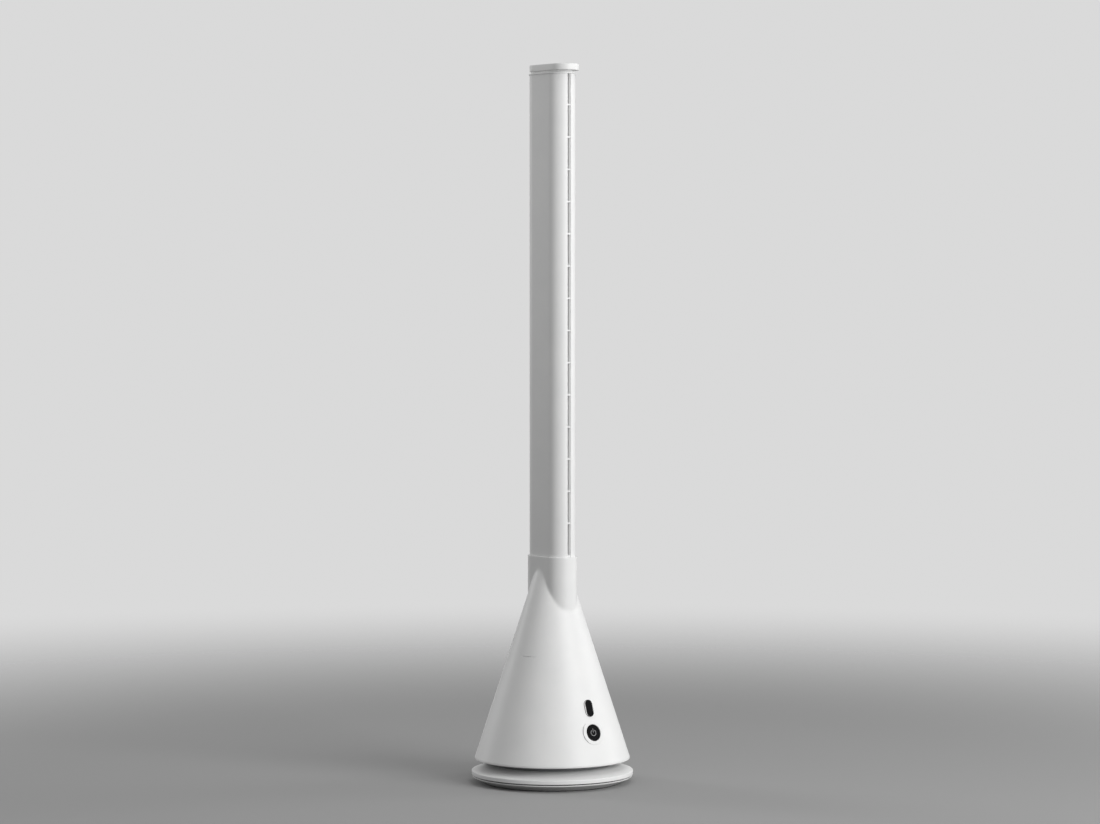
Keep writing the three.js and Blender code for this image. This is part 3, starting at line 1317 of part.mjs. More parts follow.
add('column_seal', makeColumnSeal(), rubber);
add('column_foot', makeColumnFoot(), greyPlastic);
columnScrewPlaces().forEach(([x, y], i) => {
  const geometry = screw(screwHeadRadius, screwHead, screwRadius, COLUMN_SCREW_LENGTH);
  const mesh = add(`column_screw_${i + 1}`, geometry, steel);
  mesh.position.set(x, y, shelfBottom - CLEARANCE - screwHead);
});
add('column_shell', prism(columnOutline(), columnBottom, COLUMN_TOP), whitePlastic);
add('nozzle_strip', makeNozzleStrip(), whitePlastic);
add('air_guide', makeAirGuide(), darkPlastic);
add('top_ring', makeTopRing(), whitePlastic);
add('cap_neck', makeCapNeck(), whitePlastic);
add('top_cap', makeTopCap(), whitePlastic);
lidScrewPlaces().forEach(([x, y], i) => {
  const geometry = screw(screwHeadRadius, screwHead, screwRadius, LID_SCREW_LENGTH);
  const mesh = add(`cap_screw_${i + 1}`, geometry, steel);
  mesh.position.set(x, y, lidRingBottom - CLEARANCE - screwHead);
});

export default fan;
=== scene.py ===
"""Looks of the bladeless tower fan: fine shells, materials, studio light and the camera.

Lengths are in millimetres until a mesh is made; the scene itself is in metres.
The axis of the fan is Z, its front faces -Y, and z = 0 is the floor.
"""
import json
import math

import bmesh
import bpy
from mathutils import Matrix, Vector


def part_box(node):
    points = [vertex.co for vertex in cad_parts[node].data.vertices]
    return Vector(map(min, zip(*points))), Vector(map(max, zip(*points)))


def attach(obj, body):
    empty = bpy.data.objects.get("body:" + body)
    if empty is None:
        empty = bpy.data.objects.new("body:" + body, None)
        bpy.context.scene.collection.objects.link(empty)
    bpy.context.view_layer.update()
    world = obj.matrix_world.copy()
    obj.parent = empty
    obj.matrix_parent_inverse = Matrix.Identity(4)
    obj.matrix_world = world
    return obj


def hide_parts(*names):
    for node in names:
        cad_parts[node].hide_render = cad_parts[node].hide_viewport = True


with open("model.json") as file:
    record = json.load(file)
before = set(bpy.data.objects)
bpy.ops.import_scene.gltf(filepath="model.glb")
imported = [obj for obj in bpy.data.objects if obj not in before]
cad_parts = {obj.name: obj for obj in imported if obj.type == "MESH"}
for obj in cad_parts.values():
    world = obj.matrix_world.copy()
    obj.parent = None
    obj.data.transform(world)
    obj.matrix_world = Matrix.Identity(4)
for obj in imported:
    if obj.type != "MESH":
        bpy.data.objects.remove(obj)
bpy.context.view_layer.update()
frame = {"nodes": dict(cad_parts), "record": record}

MM = 0.001

# ---------------------------------------------------------------------------------------------
# Sizes in millimetres, the outer ones from the CAD model's pieces


def node_box(node):
    """A node's lowest and highest corners, in millimetres."""
    low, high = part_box(node)
    return low / MM, high / MM


COLUMN_LOW, COLUMN_HIGH = node_box("column_shell")
CONE_LOW, CONE_HIGH = node_box("cone_shell")
LID_LOW, LID_HIGH = node_box("top_cap")
PAN_LOW, PAN_HIGH = node_box("foot_pan")
DECK_LOW, DECK_HIGH = node_box("base_deck")
RING_HIGH = node_box("top_ring")[1]
BAND_HIGH = node_box("cap_neck")[1]
COVER_HIGH = node_box("foot_cover")[1]
PAD_HIGH = node_box("foot_ring")[1]

CLEARANCE = 0.3
HAIR = 0.02  # keeps two faces from lying in one plane

# The column: slot widths are half widths
END_RADIUS = COLUMN_HIGH.x
HALF_FLAT = COLUMN_HIGH.y - COLUMN_HIGH.x
COLUMN_WALL = 2.2
SLOT_THROAT = 0.85
SLOT_MOUTH = 2.6
SLOT_DEPTH = 3.1
SLOT_STRAIGHT = 0.6
SLOT_TAPER = 0.8  # share of the way out to the mouth that is a straight slope
SLOT_LIP = 1.8
RING_LIFT = 1.0
RING_BOTTOM = COLUMN_HIGH.z + RING_LIFT
RING_TOP = RING_HIGH.z + RING_LIFT

# The cone and its collar
CONE_ANGLE = math.radians(18)
CONE_BASE_RADIUS = CONE_HIGH.x
CONE_EDGE_ROUND = 2.6
CONE_EDGE_BEVEL = 0.35
CONE_EDGE = CONE_LOW.z + CONE_EDGE_ROUND
BODY_WALL = 2.6
SHOULDER_LEVEL = 205  # the mesh is finer above it, where cone and collar meet
COLLAR_WALL = 2.1
COLLAR_END_RADIUS = END_RADIUS + CLEARANCE + COLLAR_WALL
COLLAR_BLEND = 1.2  # how far the small valley between cone and collar reaches
COLLAR_RIM_ROUND = 0.5
COLLAR_RIM = CONE_HIGH.z - COLLAR_RIM_ROUND
GROOVE_LEVEL = 173.6
GROOVE_HALF_HEIGHT = 0.4
GROOVE_MARGIN = 1.2
GROOVE_DEPTH = 0.8
GROOVE_START = math.radians(58.8)
GROOVE_END = math.radians(80.5)
GROOVE_FADE = math.radians(2)

# The intake behind
GRILLE_BOTTOM = 50.0
GRILLE_TOP = 122.0
GRILLE_HALF_ANGLE = math.radians(40)
GRILLE_DEPTH = 2.0
GRILLE_ROWS = 10
GRILLE_WINDOWS = 3
GRILLE_SLAT = 3.0
GRILLE_FRAME = 6.0
GRILLE_RIB = math.radians(2.4)
GRILLE_SOFTNESS = 0.45
FILTER_THICKNESS = 5

# The button and the window on the front, their heights measured out from the cone
CUT_DEPTH = 12
CUT_PAST = 5
BUTTON_LEVEL = 75.4
BUTTON_RADIUS = 11.0
BUTTON_FACE = -0.1
BUTTON_EDGE = 0.5
DISH_DEPTH = 0.22
DISH_RINGS = (10.8, 8.7, 6.4, 4, 2)  # radii, the dish's edge first
BOSS_RADIUS = 16.5
BOSS_PROUD = 0.3
BOSS_DEPTH = 4.2
BOSS_EDGE = 0.35
BORE_FLARE = 0.25
SYMBOL_RADIUS = 4.0
SYMBOL_HALF_STROKE = 0.28
SYMBOL_HALF_GAP = 38  # degrees
SYMBOL_BAR = (0.3, 5.6)
SYMBOL_SUNK = (0.3, 0.14)  # its underside and its face, under the button's edge
DISPLAY_LEVEL = 106.8
DISPLAY_RADIUS = 6.5
DISPLAY_HALF_FLAT = 4.55
DISPLAY_PROUD = 2.0
DISPLAY_RIM = 1.5  # the ledge's width along the sides
DISPLAY_KEEP = 1.0  # the ledge runs out at the window's two ends
DISPLAY_SEAM = 0.5
DISPLAY_ROOT = -4.4
DISPLAY_CHAMFER = (0.15, 0.2)
DISPLAY_RINGS = (3.0, 4.4)  # insets of the loops that keep the face's mesh even
# The pale ledge round the window: a real step whose white is partly a painted highlight for the
# reflection on the window's shoulder
LEDGE_TOP = 0.45
LEDGE_CHAMFER = 0.15
LEDGE_FOOT = -0.2
# The black ring in the window's seam, painted shade for the shadow in the gap: its top and its foot
SHADE_SEAM_TOP = 0.03
SHADE_SEAM_FOOT = -2.2

# The foot
RIM_BOTTOM = 11.2
RIM_TOP = 16.9
RIM_ROUND = 1.1
TABLE_RADIUS = 83.5
COVER_WALL = 2.4
COVER_BORE = 12.3
TRAY_BORE = 10
TRAY_BASE = 15.8  # how far its wall leans in from the lip down to its base
TRAY_FLOOR = 3.6
TRAY_STEP = 5.6  # the floor's level over the groove for the rubber ring
TRAY_STEP_RADIUS = 78
TRAY_CORNER_RADIUS = 95.6
TRAY_WALL_FOOT = 9.7
LIP_GAP = 0.6
LIP_HEIGHT = 2.1
SCREWS = 4
SCREW_CIRCLE = 60
SCREW_BOSS = (5, 6.6)  # radius and top
SCREW_HEAD = (3.3, 3.7)
SCREW_SHANK = (1.8, 8)
PAD_WIDTH = 9.9
PAD_TREADS = 4
PAD_EDGE = 0.6
PAD_GROOVE = ((-0.7, 0), (-0.5, 0.5), (-0.2, 0.5), (0, 0))

# The neck
NECK_BORE = 7
NECK_UNDER = 33.0  # underside of the cone's floor
SKIRT_RADIUS = 82.5
SKIRT_WALL = 3

TURN = 2 * math.pi
FINE = 288  # steps round the large round pieces

# ---------------------------------------------------------------------------------------------
# Materials


class Nodes:
    """A short way to build one material's node tree."""

    def __init__(self, name):
        self.material = bpy.data.materials.new(name)
        self.material.use_nodes = True
        self.tree = self.material.node_tree
        self.shader = self.tree.nodes["Principled BSDF"]

    def add(self, kind, **values):
        node = self.tree.nodes.new(kind)
        for key, value in values.items():
            if key in node.inputs:
                node.inputs[key].default_value = value
            else:
                setattr(node, key, value)
        return node

    def link(self, source, target):
        self.tree.links.new(source, target)

    def noise(self, scale, detail=3.0, stretch=(1, 1, 1)):
        """A noise of that many bumps per metre, in the object's own coordinates."""
        place = self.add("ShaderNodeTexCoord")
        mapping = self.add("ShaderNodeMapping")
        mapping.inputs["Scale"].default_value = stretch
        noise = self.add("ShaderNodeTexNoise", Scale=scale, Detail=detail)
        self.link(place.outputs["Object"], mapping.inputs["Vector"])
        self.link(mapping.outputs["Vector"], noise.inputs["Vector"])
        return noise.outputs["Fac"]

    def ramp(self, factor, low, high, start=0.3, end=0.7):
        """A colour that runs from low to high with the factor."""
        ramp = self.add("ShaderNodeValToRGB")
        ramp.color_ramp.elements[0].position = start
        ramp.color_ramp.elements[0].color = (*low, 1)
        ramp.color_ramp.elements[1].position = end
        ramp.color_ramp.elements[1].color = (*high, 1)
        self.link(factor, ramp.inputs["Fac"])
        return ramp.outputs["Color"]

    def spread(self, factor, low, high):
        """A number that runs from low to high with the factor."""
        spread = self.add("ShaderNodeMapRange")
        spread.inputs["To Min"].default_value = low
        spread.inputs["To Max"].default_value = high
        self.link(factor, spread.inputs["Value"])
        return spread.outputs["Result"]

    def bump(self, height, distance, strength=1.0):
        bump = self.add("ShaderNodeBump", Strength=strength, Distance=distance)
        self.link(height, bump.inputs["Height"])
        return bump.outputs["Normal"]

    def set(self, **sockets):
        """Sets the shader's own sockets, or links them where an output is given."""
        for name, value in sockets.items():
            socket = self.shader.inputs[name.replace("_", " ")]
            if isinstance(value, bpy.types.NodeSocket):
                self.link(value, socket)
            else:
                socket.default_value = value


def plastic(name, low, high, roughness, grain, grain_depth, **shine):
    """Moulded plastic: a faint cloud in its colour, uneven gloss and a fine moulded grain."""
    n = Nodes(name)
    cloud = n.noise(28, 4)
    fine = n.noise(grain, 2)
    n.set(
        Base_Color=n.ramp(cloud, low, high),
        Roughness=n.spread(n.noise(60, 3), *roughness),
        Normal=n.bump(fine, grain_depth * MM),
        **shine,
    )
    return n.material


def white_shell():
    return plastic(
        "white_shell", (0.775, 0.778, 0.775), (0.805, 0.806, 0.80), (0.40, 0.48), 1500, 0.003,
        Specular_IOR_Level=0.45,
    )


def dark_plastic():
    return plastic(
        "dark_plastic", (0.040, 0.041, 0.043), (0.052, 0.053, 0.055), (0.48, 0.62), 1100, 0.02)


def grey_plastic():
    return plastic(
        "grey_plastic", (0.145, 0.149, 0.154), (0.168, 0.172, 0.177), (0.45, 0.58), 1100, 0.015)


def gloss_black():
    return plastic(
        "gloss_black", (0.0035, 0.0037, 0.0042), (0.0055, 0.0057, 0.0064), (0.08, 0.13), 900, 0.001,
        Specular_IOR_Level=0.12,
    )


def symbol_grey():
    return plastic(
        "symbol_grey", (0.40, 0.40, 0.405), (0.46, 0.46, 0.465), (0.4, 0.5), 1500, 0.002)


def nylon():
    return plastic("nylon", (0.62, 0.60, 0.54), (0.68, 0.66, 0.60), (0.42, 0.55), 900, 0.012)


def rubber():
    return plastic("rubber", (0.014, 0.014, 0.015), (0.024, 0.024, 0.025), (0.75, 0.9), 1400, 0.03)


def circuit_board():
    return plastic(
        "circuit_board", (0.014, 0.09, 0.04), (0.022, 0.125, 0.055), (0.3, 0.42), 700, 0.01)


def filter_foam():
    """Open foam: cells of dark pores in grey."""
    n = Nodes("filter_foam")
    cells = n.add("ShaderNodeTexVoronoi", Scale=900.0)
    place = n.add("ShaderNodeTexCoord")
    n.link(place.outputs["Object"], cells.inputs["Vector"])
    pores = cells.outputs["Distance"]
    n.set(
        Base_Color=n.ramp(pores, (0.02, 0.021, 0.022), (0.11, 0.115, 0.12), 0.1, 0.55),
        Roughness=n.spread(pores, 0.95, 0.85),
        Normal=n.bump(pores, 0.6 * MM),
    )
    return n.material


def metal(name, low, high, roughness, stretch, grain_depth):
    """Metal with the fine lines of its finish along one way."""
    n = Nodes(name)
    lines = n.noise(900, 3, stretch)
    n.set(
        Base_Color=n.ramp(lines, low, high),
        Roughness=n.spread(lines, *roughness),
        Normal=n.bump(lines, grain_depth * MM),
        Metallic=1.0,
    )
    return n.material


def steel():
    return metal("steel", (0.52, 0.53, 0.55), (0.62, 0.63, 0.65), (0.25, 0.4), (1, 1, 0.05), 0.01)


def cast_iron():
    return metal(
        "cast_iron", (0.07, 0.07, 0.075), (0.12, 0.12, 0.125), (0.55, 0.75), (1, 1, 1), 0.08)


def brass():
    return metal("brass", (0.70, 0.53, 0.26), (0.80, 0.62, 0.33), (0.18, 0.3), (1, 0.05, 1), 0.006)


MATERIALS = {
    "white_shell": white_shell(),
    "dark_plastic": dark_plastic(),
    "grey_plastic": grey_plastic(),
    "gloss_black": gloss_black(),
    "cast_iron": cast_iron(),
    "nylon": nylon(),
    "brass": brass(),
    "rubber": rubber(),
    "filter_foam": filter_foam(),
    "circuit_board": circuit_board(),
    "steel": steel(),
}
SYMBOL = symbol_grey()

# ---------------------------------------------------------------------------------------------
# Meshes


def make_object(name, points, faces, material):
    """A closed mesh from points in millimetres, shaded smooth with crisp edges."""
    mesh = bpy.data.meshes.new(name)
    mesh.from_pydata([tuple(c * MM for c in p) for p in points], [], faces)
    mesh.validate()
    shape = bmesh.new()
    shape.from_mesh(mesh)
    bmesh.ops.recalc_face_normals(shape, faces=shape.faces)
    shape.to_mesh(mesh)
    shape.free()
    obj = bpy.data.objects.new(name, mesh)
    bpy.context.scene.collection.objects.link(obj)
    mesh.materials.append(material)
    smooth(obj)
    return obj


def smooth(obj, angle=32):
    obj.data.shade_smooth()
    obj.data.set_sharp_from_angle(angle=math.radians(angle))


def finish_piece(obj, body, slot, *nodes):
    """The piece rides on its body and stands for the CAD nodes named."""
    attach(obj, body)
    if nodes:
        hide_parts(*nodes)


def loft(name, loops, material, capped=True):
    """A skin over loops of equal length; its ends are capped, or join each other."""
    count = len(loops[0])
    points = [p for loop in loops for p in loop]
    pairs = list(zip(range(len(loops) - 1), range(1, len(loops))))
    if not capped:
        pairs.append((len(loops) - 1, 0))
    faces = []
    for low, high in pairs:
        for i in range(count):
            j = (i + 1) % count
            faces.append((low * count + i, low * count + j, high * count + j, high * count + i))
    if capped:
        last = (len(loops) - 1) * count
        faces.append(tuple(reversed(range(count))))
        faces.append(tuple(last + i for i in range(count)))
    return make_object(name, points, faces, material)


def circle(radius, height, steps, x=0.0, y=0.0):
    angles = [TURN * i / steps for i in range(steps)]
    return [(x + radius * math.cos(a), y + radius * math.sin(a), height) for a in angles]


def turned(name, profile, material, steps=FINE):
    """A closed profile of (radius, height) points, anticlockwise, turned round the Z axis."""
    loops = [circle(radius, height, steps) for radius, height in profile]
    return loft(name, loops, material, capped=False)


def disc(name, profile, material, steps=96, x=0.0, y=0.0):
    """A solid disc from (radius, height) points, lowest first."""
    return loft(name, [circle(radius, height, steps, x, y) for radius, height in profile], material)


def arc(centre, radius, start, end, steps):
    """Points on an arc, its angles in degrees."""
    angles = [math.radians(start + (end - start) * i / steps) for i in range(steps + 1)]
    return [(centre[0] + radius * math.cos(a), centre[1] + radius * math.sin(a)) for a in angles]


def curve(start, bend, end, steps):
    """Points on a smooth curve that runs from start to end and leans towards bend."""
    points = []
    for i in range(steps + 1):
        s = i / steps
        weights = ((1 - s) ** 2, 2 * s * (1 - s), s ** 2)
        corners = zip(start, bend, end)
        points.append(tuple(sum(w * c for w, c in zip(weights, axis)) for axis in corners))
    return points


def racetrack(radius, half_flat, front_extra=0.0, steps=40):
    """A racetrack outline, long from front to back, anticlockwise."""
    back = arc((0, half_flat), radius, 0, 180, steps)
    front = arc((0, -half_flat - front_extra), radius, 180, 360, steps)
    return back + front


def rounded_slab(name, radius, half_flat, bottom, top, edges, material, front_extra=0.0):
    """A racetrack plate. edges are the rounds of its lower and upper edge."""
    loops = []
    steps = 6
    for edge, level, sign in ((edges[0], bottom, 1), (edges[1], top, -1)):
        rounds = []
        for i in range(steps + 1):
            a = math.pi / 2 * i / steps
            inset = edge * (1 - math.sin(a))
            height = level + sign * edge * (1 - math.cos(a))
            outline = racetrack(radius - inset, half_flat, front_extra)
            rounds.append([(x, y, height) for x, y in outline])
        loops += rounds if sign > 0 else reversed(rounds)
    return loft(name, loops, material)


def grid_shell(name, thetas, levels, outer, inner, solid, material):
    """A wall between an outer and an inner surface, with its closed cells left open.

    outer and inner give a point for an angle and a level, and solid says whether a cell is filled.
    The wall closes on itself where the angles go all the way round.
    """
    whole = abs(thetas[-1] - thetas[0] - TURN) < 1e-9
    columns = len(thetas) - 1
    rows = len(levels) - 1
    width = columns if whole else columns + 1
    points = [outer(t, s) for s in levels for t in thetas[:width]]
    points += [inner(t, s) for s in levels for t in thetas[:width]]
    offset = width * (rows + 1)

    def corner(i, j):
        return j * width + (i % width if whole else i)

    def filled(i, j):
        if whole:
            i %= columns
        return 0 <= i < columns and 0 <= j < rows and solid(i, j)

    faces = []
    for j in range(rows):
        for i in range(columns):
            if not filled(i, j):
                continue
            a, b = corner(i, j), corner(i + 1, j)
            c, d = corner(i + 1, j + 1), corner(i, j + 1)
            faces.append((a, b, c, d))
            faces.append((offset + d, offset + c, offset + b, offset + a))
            sides = ((i, j - 1, a, b), (i + 1, j, b, c), (i, j + 1, c, d), (i - 1, j, d, a))
            for next_i, next_j, p, q in sides:
                if not filled(next_i, next_j):
                    faces.append((q, p, offset + p, offset + q))
    used = sorted({v for face in faces for v in face})
    order = {v: k for k, v in enumerate(used)}
    faces = [tuple(order[v] for v in face) for face in faces]
    return make_object(name, [points[v] for v in used], faces, material)


def apply_modifiers(obj):
    """Replaces the object's mesh by what its modifiers make of it."""
    depsgraph = bpy.context.evaluated_depsgraph_get()
    mesh = bpy.data.meshes.new_from_object(obj.evaluated_get(depsgraph))
    obj.modifiers.clear()
    obj.data = mesh


def combine(obj, other, operation):
    """Joins or cuts the object with another, which is used up."""
    modifier = obj.modifiers.new("combine", "BOOLEAN")
    modifier.operation = operation
    modifier.solver = "EXACT"
    modifier.object = other
    apply_modifiers(obj)
    bpy.data.objects.remove(other)


def soften_edges(obj, width, segments=2, angle=40):
    """Rounds the object's sharp edges a little."""
    bevel = obj.modifiers.new("soft_edges", "BEVEL")
    bevel.width = width * MM
    bevel.segments = segments
    bevel.limit_method = "ANGLE"
    bevel.angle_limit = math.radians(angle)
    bevel.harden_normals = False


def steps_between(start, end, count):
    return [start + (end - start) * i / count for i in range(count + 1)]


# ---------------------------------------------------------------------------------------------
# The cone


def cone_radius(level, depth=0.0):
    """The cone's radius at a level, on a surface that lies so deep under its skin."""
    outside = CONE_BASE_RADIUS - (level - CONE_EDGE) * math.tan(CONE_ANGLE)
    return outside - depth / math.cos(CONE_ANGLE)


def cone_layer(depth):
    """A surface for grid_shell that lies so deep under the cone's skin."""
    return lambda theta, level: around(theta, cone_radius(level, depth), level)


def racetrack_reach(theta, radius, half_flat):
    """How far a racetrack outline reaches from its middle, at an angle from the front."""
    side, ahead = abs(math.sin(theta)), abs(math.cos(theta))
    if side * half_flat >= ahead * radius:
        return radius / side
    return ahead * half_flat + math.sqrt(radius ** 2 - (half_flat * side) ** 2)


def soft_max(first, second, blend):
    reach = max(blend - abs(first - second), 0) / blend
    return max(first, second) + reach * reach * blend / 4


def groove_depth(theta, level):
    """Depth of the short fine line scored into each side."""
    across = abs(level - GROOVE_LEVEL) / GROOVE_HALF_HEIGHT
    side = abs((theta + math.pi) % TURN - math.pi)
    if across >= 1 or not GROOVE_START <= side <= GROOVE_END:
        return 0.0
    ends = min(side - GROOVE_START, GROOVE_END - side) / GROOVE_FADE
    return GROOVE_DEPTH * min(ends, 1) * (1 - across ** 2)


def around(theta, radius, level):
    """A point at an angle from the front."""
    return (radius * math.sin(theta), -radius * math.cos(theta), level)


def cone_outside(theta, level):
    radius = cone_radius(level)
    drop = CONE_EDGE - level
    if drop > 0:
        round_off = CONE_EDGE_ROUND - math.sqrt(max(CONE_EDGE_ROUND ** 2 - drop ** 2, 0))
        radius -= max(round_off, min(drop, CONE_EDGE_BEVEL))
    collar = racetrack_reach(theta, COLLAR_END_RADIUS, HALF_FLAT)
    rim = level - COLLAR_RIM
    if rim > 0:
        collar -= COLLAR_RIM_ROUND - math.sqrt(max(COLLAR_RIM_ROUND ** 2 - rim ** 2, 0))
    return around(theta, soft_max(radius, collar, COLLAR_BLEND) - groove_depth(theta, level), level)


def cone_inside(theta, level):
    collar = racetrack_reach(theta, COLLAR_END_RADIUS - COLLAR_WALL, HALF_FLAT)
    return around(theta, max(cone_radius(level, BODY_WALL), collar), level)


def on_front(obj, level):
    """Moves an object made round the origin onto the cone's front, its +Z pointing out."""
    out = Vector((0, -math.cos(CONE_ANGLE), math.sin(CONE_ANGLE)))
    right = Vector((1, 0, 0))
    up = out.cross(right)
    place = Matrix((right, up, out)).transposed().to_4x4()
    place.translation = Vector((0, -cone_radius(level), level)) * MM
    obj.data.transform(place)
    return obj


def pill(name, margin, profile, material, capped=True, keep=0.0):
    """A pill-shaped plate, or a ring, from (inset, height) points, lowest first.

    keep is the share of an inset that leaves the pill's two ends where they are.
    """
    loops = []
    for inset, height in profile:
        outline = racetrack(
            DISPLAY_RADIUS + margin - inset, DISPLAY_HALF_FLAT + keep * inset, 0, 24)
        loops.append([(x, y, height) for x, y in outline])
    return loft(name, loops, material, capped)


def edge_round(radius, top, size, steps=5):
    """The points of a rounded upper edge, lowest first."""
    return arc((radius - size, top - size), size, 0, 90, steps)


def make_cone_body():
    """The cone with its collar, the scored lines and the openings for button, window and grille."""
    white = MATERIALS["white_shell"]
    levels = [CONE_EDGE - CONE_EDGE_ROUND * math.cos(math.radians(a)) for a in range(0, 90, 10)]
    levels += steps_between(CONE_EDGE, GRILLE_BOTTOM, 4)
    levels += steps_between(GRILLE_BOTTOM, GRILLE_TOP, 16)[1:]
    levels += steps_between(GRILLE_TOP, GROOVE_LEVEL - GROOVE_MARGIN, 8)[1:]
    levels += steps_between(GROOVE_LEVEL - GROOVE_HALF_HEIGHT, GROOVE_LEVEL + GROOVE_HALF_HEIGHT, 8)
    levels += steps_between(GROOVE_LEVEL + GROOVE_MARGIN, SHOULDER_LEVEL, 5)
    levels += steps_between(SHOULDER_LEVEL, COLLAR_RIM, 48)[1:]
    levels += [COLLAR_RIM + COLLAR_RIM_ROUND * math.sin(math.radians(a)) for a in range(15, 91, 15)]
    thetas = steps_between(0, TURN, FINE)

    def solid(i, j):
        theta = (thetas[i] + thetas[i + 1]) / 2
        level = (levels[j] + levels[j + 1]) / 2
        behind = abs(theta - math.pi) < GRILLE_HALF_ANGLE
        return not (behind and GRILLE_BOTTOM < level < GRILLE_TOP)

    shell = grid_shell("cone_body", thetas, levels, cone_outside, cone_inside, solid, white)
    boss_profile = [(BOSS_RADIUS, -BOSS_DEPTH)] + edge_round(BOSS_RADIUS, BOSS_PROUD, BOSS_EDGE)
    combine(shell, on_front(disc("boss", boss_profile, white), BUTTON_LEVEL), "UNION")
    bore = BUTTON_RADIUS + CLEARANCE
    past = 3  # the flare's slope goes on past the boss
    flare = [(bore, -CUT_DEPTH), (bore, BOSS_PROUD - BORE_FLARE), (bore + BORE_FLARE, BOSS_PROUD)]
    flare += [(bore + past, BOSS_PROUD + past - BORE_FLARE)]
    combine(shell, on_front(disc("bore", flare, white), BUTTON_LEVEL), "DIFFERENCE")
    opening = pill("window", DISPLAY_SEAM, [(0, -CUT_DEPTH), (0, CUT_PAST)], white)
    combine(shell, on_front(opening, DISPLAY_LEVEL), "DIFFERENCE")
    smooth(shell, 28)
    finish_piece(shell, "tower", "white_shell", "cone_shell")


def make_button():
    """The black button with its slightly dished face."""
    profile = [(BUTTON_RADIUS, -BOSS_DEPTH)] + edge_round(BUTTON_RADIUS, BUTTON_FACE, BUTTON_EDGE)
    for radius in DISH_RINGS:
        depth = DISH_DEPTH * (1 - (radius / DISH_RINGS[0]) ** 2)
        profile.append((radius, BUTTON_FACE - depth))
    button = on_front(disc("button_cap", profile, MATERIALS["gloss_black"]), BUTTON_LEVEL)
    finish_piece(button, "button", "gloss_black", "power_button")


def make_power_symbol():
    """A flat open ring with an upright bar, as on any mains switch."""
    bottom, top = (BUTTON_FACE - depth for depth in SYMBOL_SUNK)
    stroke = SYMBOL_HALF_STROKE
    start = 90 + SYMBOL_HALF_GAP
    end = 450 - SYMBOL_HALF_GAP
    outline = arc((0, 0), SYMBOL_RADIUS + stroke, start, end, 48)
    outline += reversed(arc((0, 0), SYMBOL_RADIUS - stroke, start, end, 48))
    count = len(outline)
    points = [(x, y, z) for z in (bottom, top) for x, y in outline]
    faces = []
    for i in range(count):
        j = (i + 1) % count
        faces.append((i, j, count + j, count + i))
    for i in range(count // 2 - 1):
        a, b, c, d = i, i + 1, count - 2 - i, count - 1 - i
        faces.append((a, d, c, b))
        faces.append((count + a, count + b, count + c, count + d))
    offset = len(points)
    low, high = SYMBOL_BAR
    bar = [(-stroke, low), (stroke, low), (stroke, high), (-stroke, high)]
    points += [(x, y, z) for z in (bottom, top) for x, y in bar]
    box = [(3, 2, 1, 0), (4, 5, 6, 7), (0, 1, 5, 4), (1, 2, 6, 5), (2, 3, 7, 6), (3, 0, 4, 7)]
    faces += [tuple(offset + v for v in face) for face in box]
    symbol = on_front(make_object("power_symbol", points, faces, SYMBOL), BUTTON_LEVEL)
    finish_piece(symbol, "button", "grey_plastic")


def make_display():
    """The glossy window: a raised black face on a pale ledge in a black seam. The ledge's white is
    partly a painted highlight: it stands in for the bright reflection on the window's left
    shoulder. The black ring that fills the seam up to the surface is painted shade for the shadow
    in the gap round the window.
    """
    face = DISPLAY_PROUD
    edge = DISPLAY_RIM
    across, down = DISPLAY_CHAMFER
    lens_profile = [(edge, DISPLAY_ROOT), (edge, face - down), (edge + across, face)]
    lens_profile += [(inset, face) for inset in DISPLAY_RINGS]
    lens = pill("display_lens", 0, lens_profile, MATERIALS["gloss_black"], True, DISPLAY_KEEP)
    finish_piece(on_front(lens, DISPLAY_LEVEL), "tower", "gloss_black", "display_window")
    # The pale ledge round the lens: its white partly stands in for the bright reflection on the
    # window's left shoulder, a painted highlight.
    ledge = [(0, LEDGE_FOOT), (0, LEDGE_TOP - LEDGE_CHAMFER), (LEDGE_CHAMFER, LEDGE_TOP)]
    ledge += [(edge, LEDGE_TOP), (edge, LEDGE_FOOT)]
    rim = pill("display_highlight_ledge", 0, ledge, MATERIALS["white_shell"], False, DISPLAY_KEEP)
    finish_piece(on_front(rim, DISPLAY_LEVEL), "tower", "white_shell")
    # A black rubber ring fills the seam up to the cone's surface: painted shade for the shadow in
    # the gap round the window.
    outside = HAIR - DISPLAY_SEAM
    inside = 2 * HAIR
    seam = [(outside, SHADE_SEAM_FOOT), (outside, SHADE_SEAM_TOP)]
    seam += [(inside, SHADE_SEAM_TOP), (inside, SHADE_SEAM_FOOT)]
    shade_seam = pill("display_shade_seam", 0, seam, MATERIALS["rubber"], False)
    finish_piece(on_front(shade_seam, DISPLAY_LEVEL), "tower", "rubber")


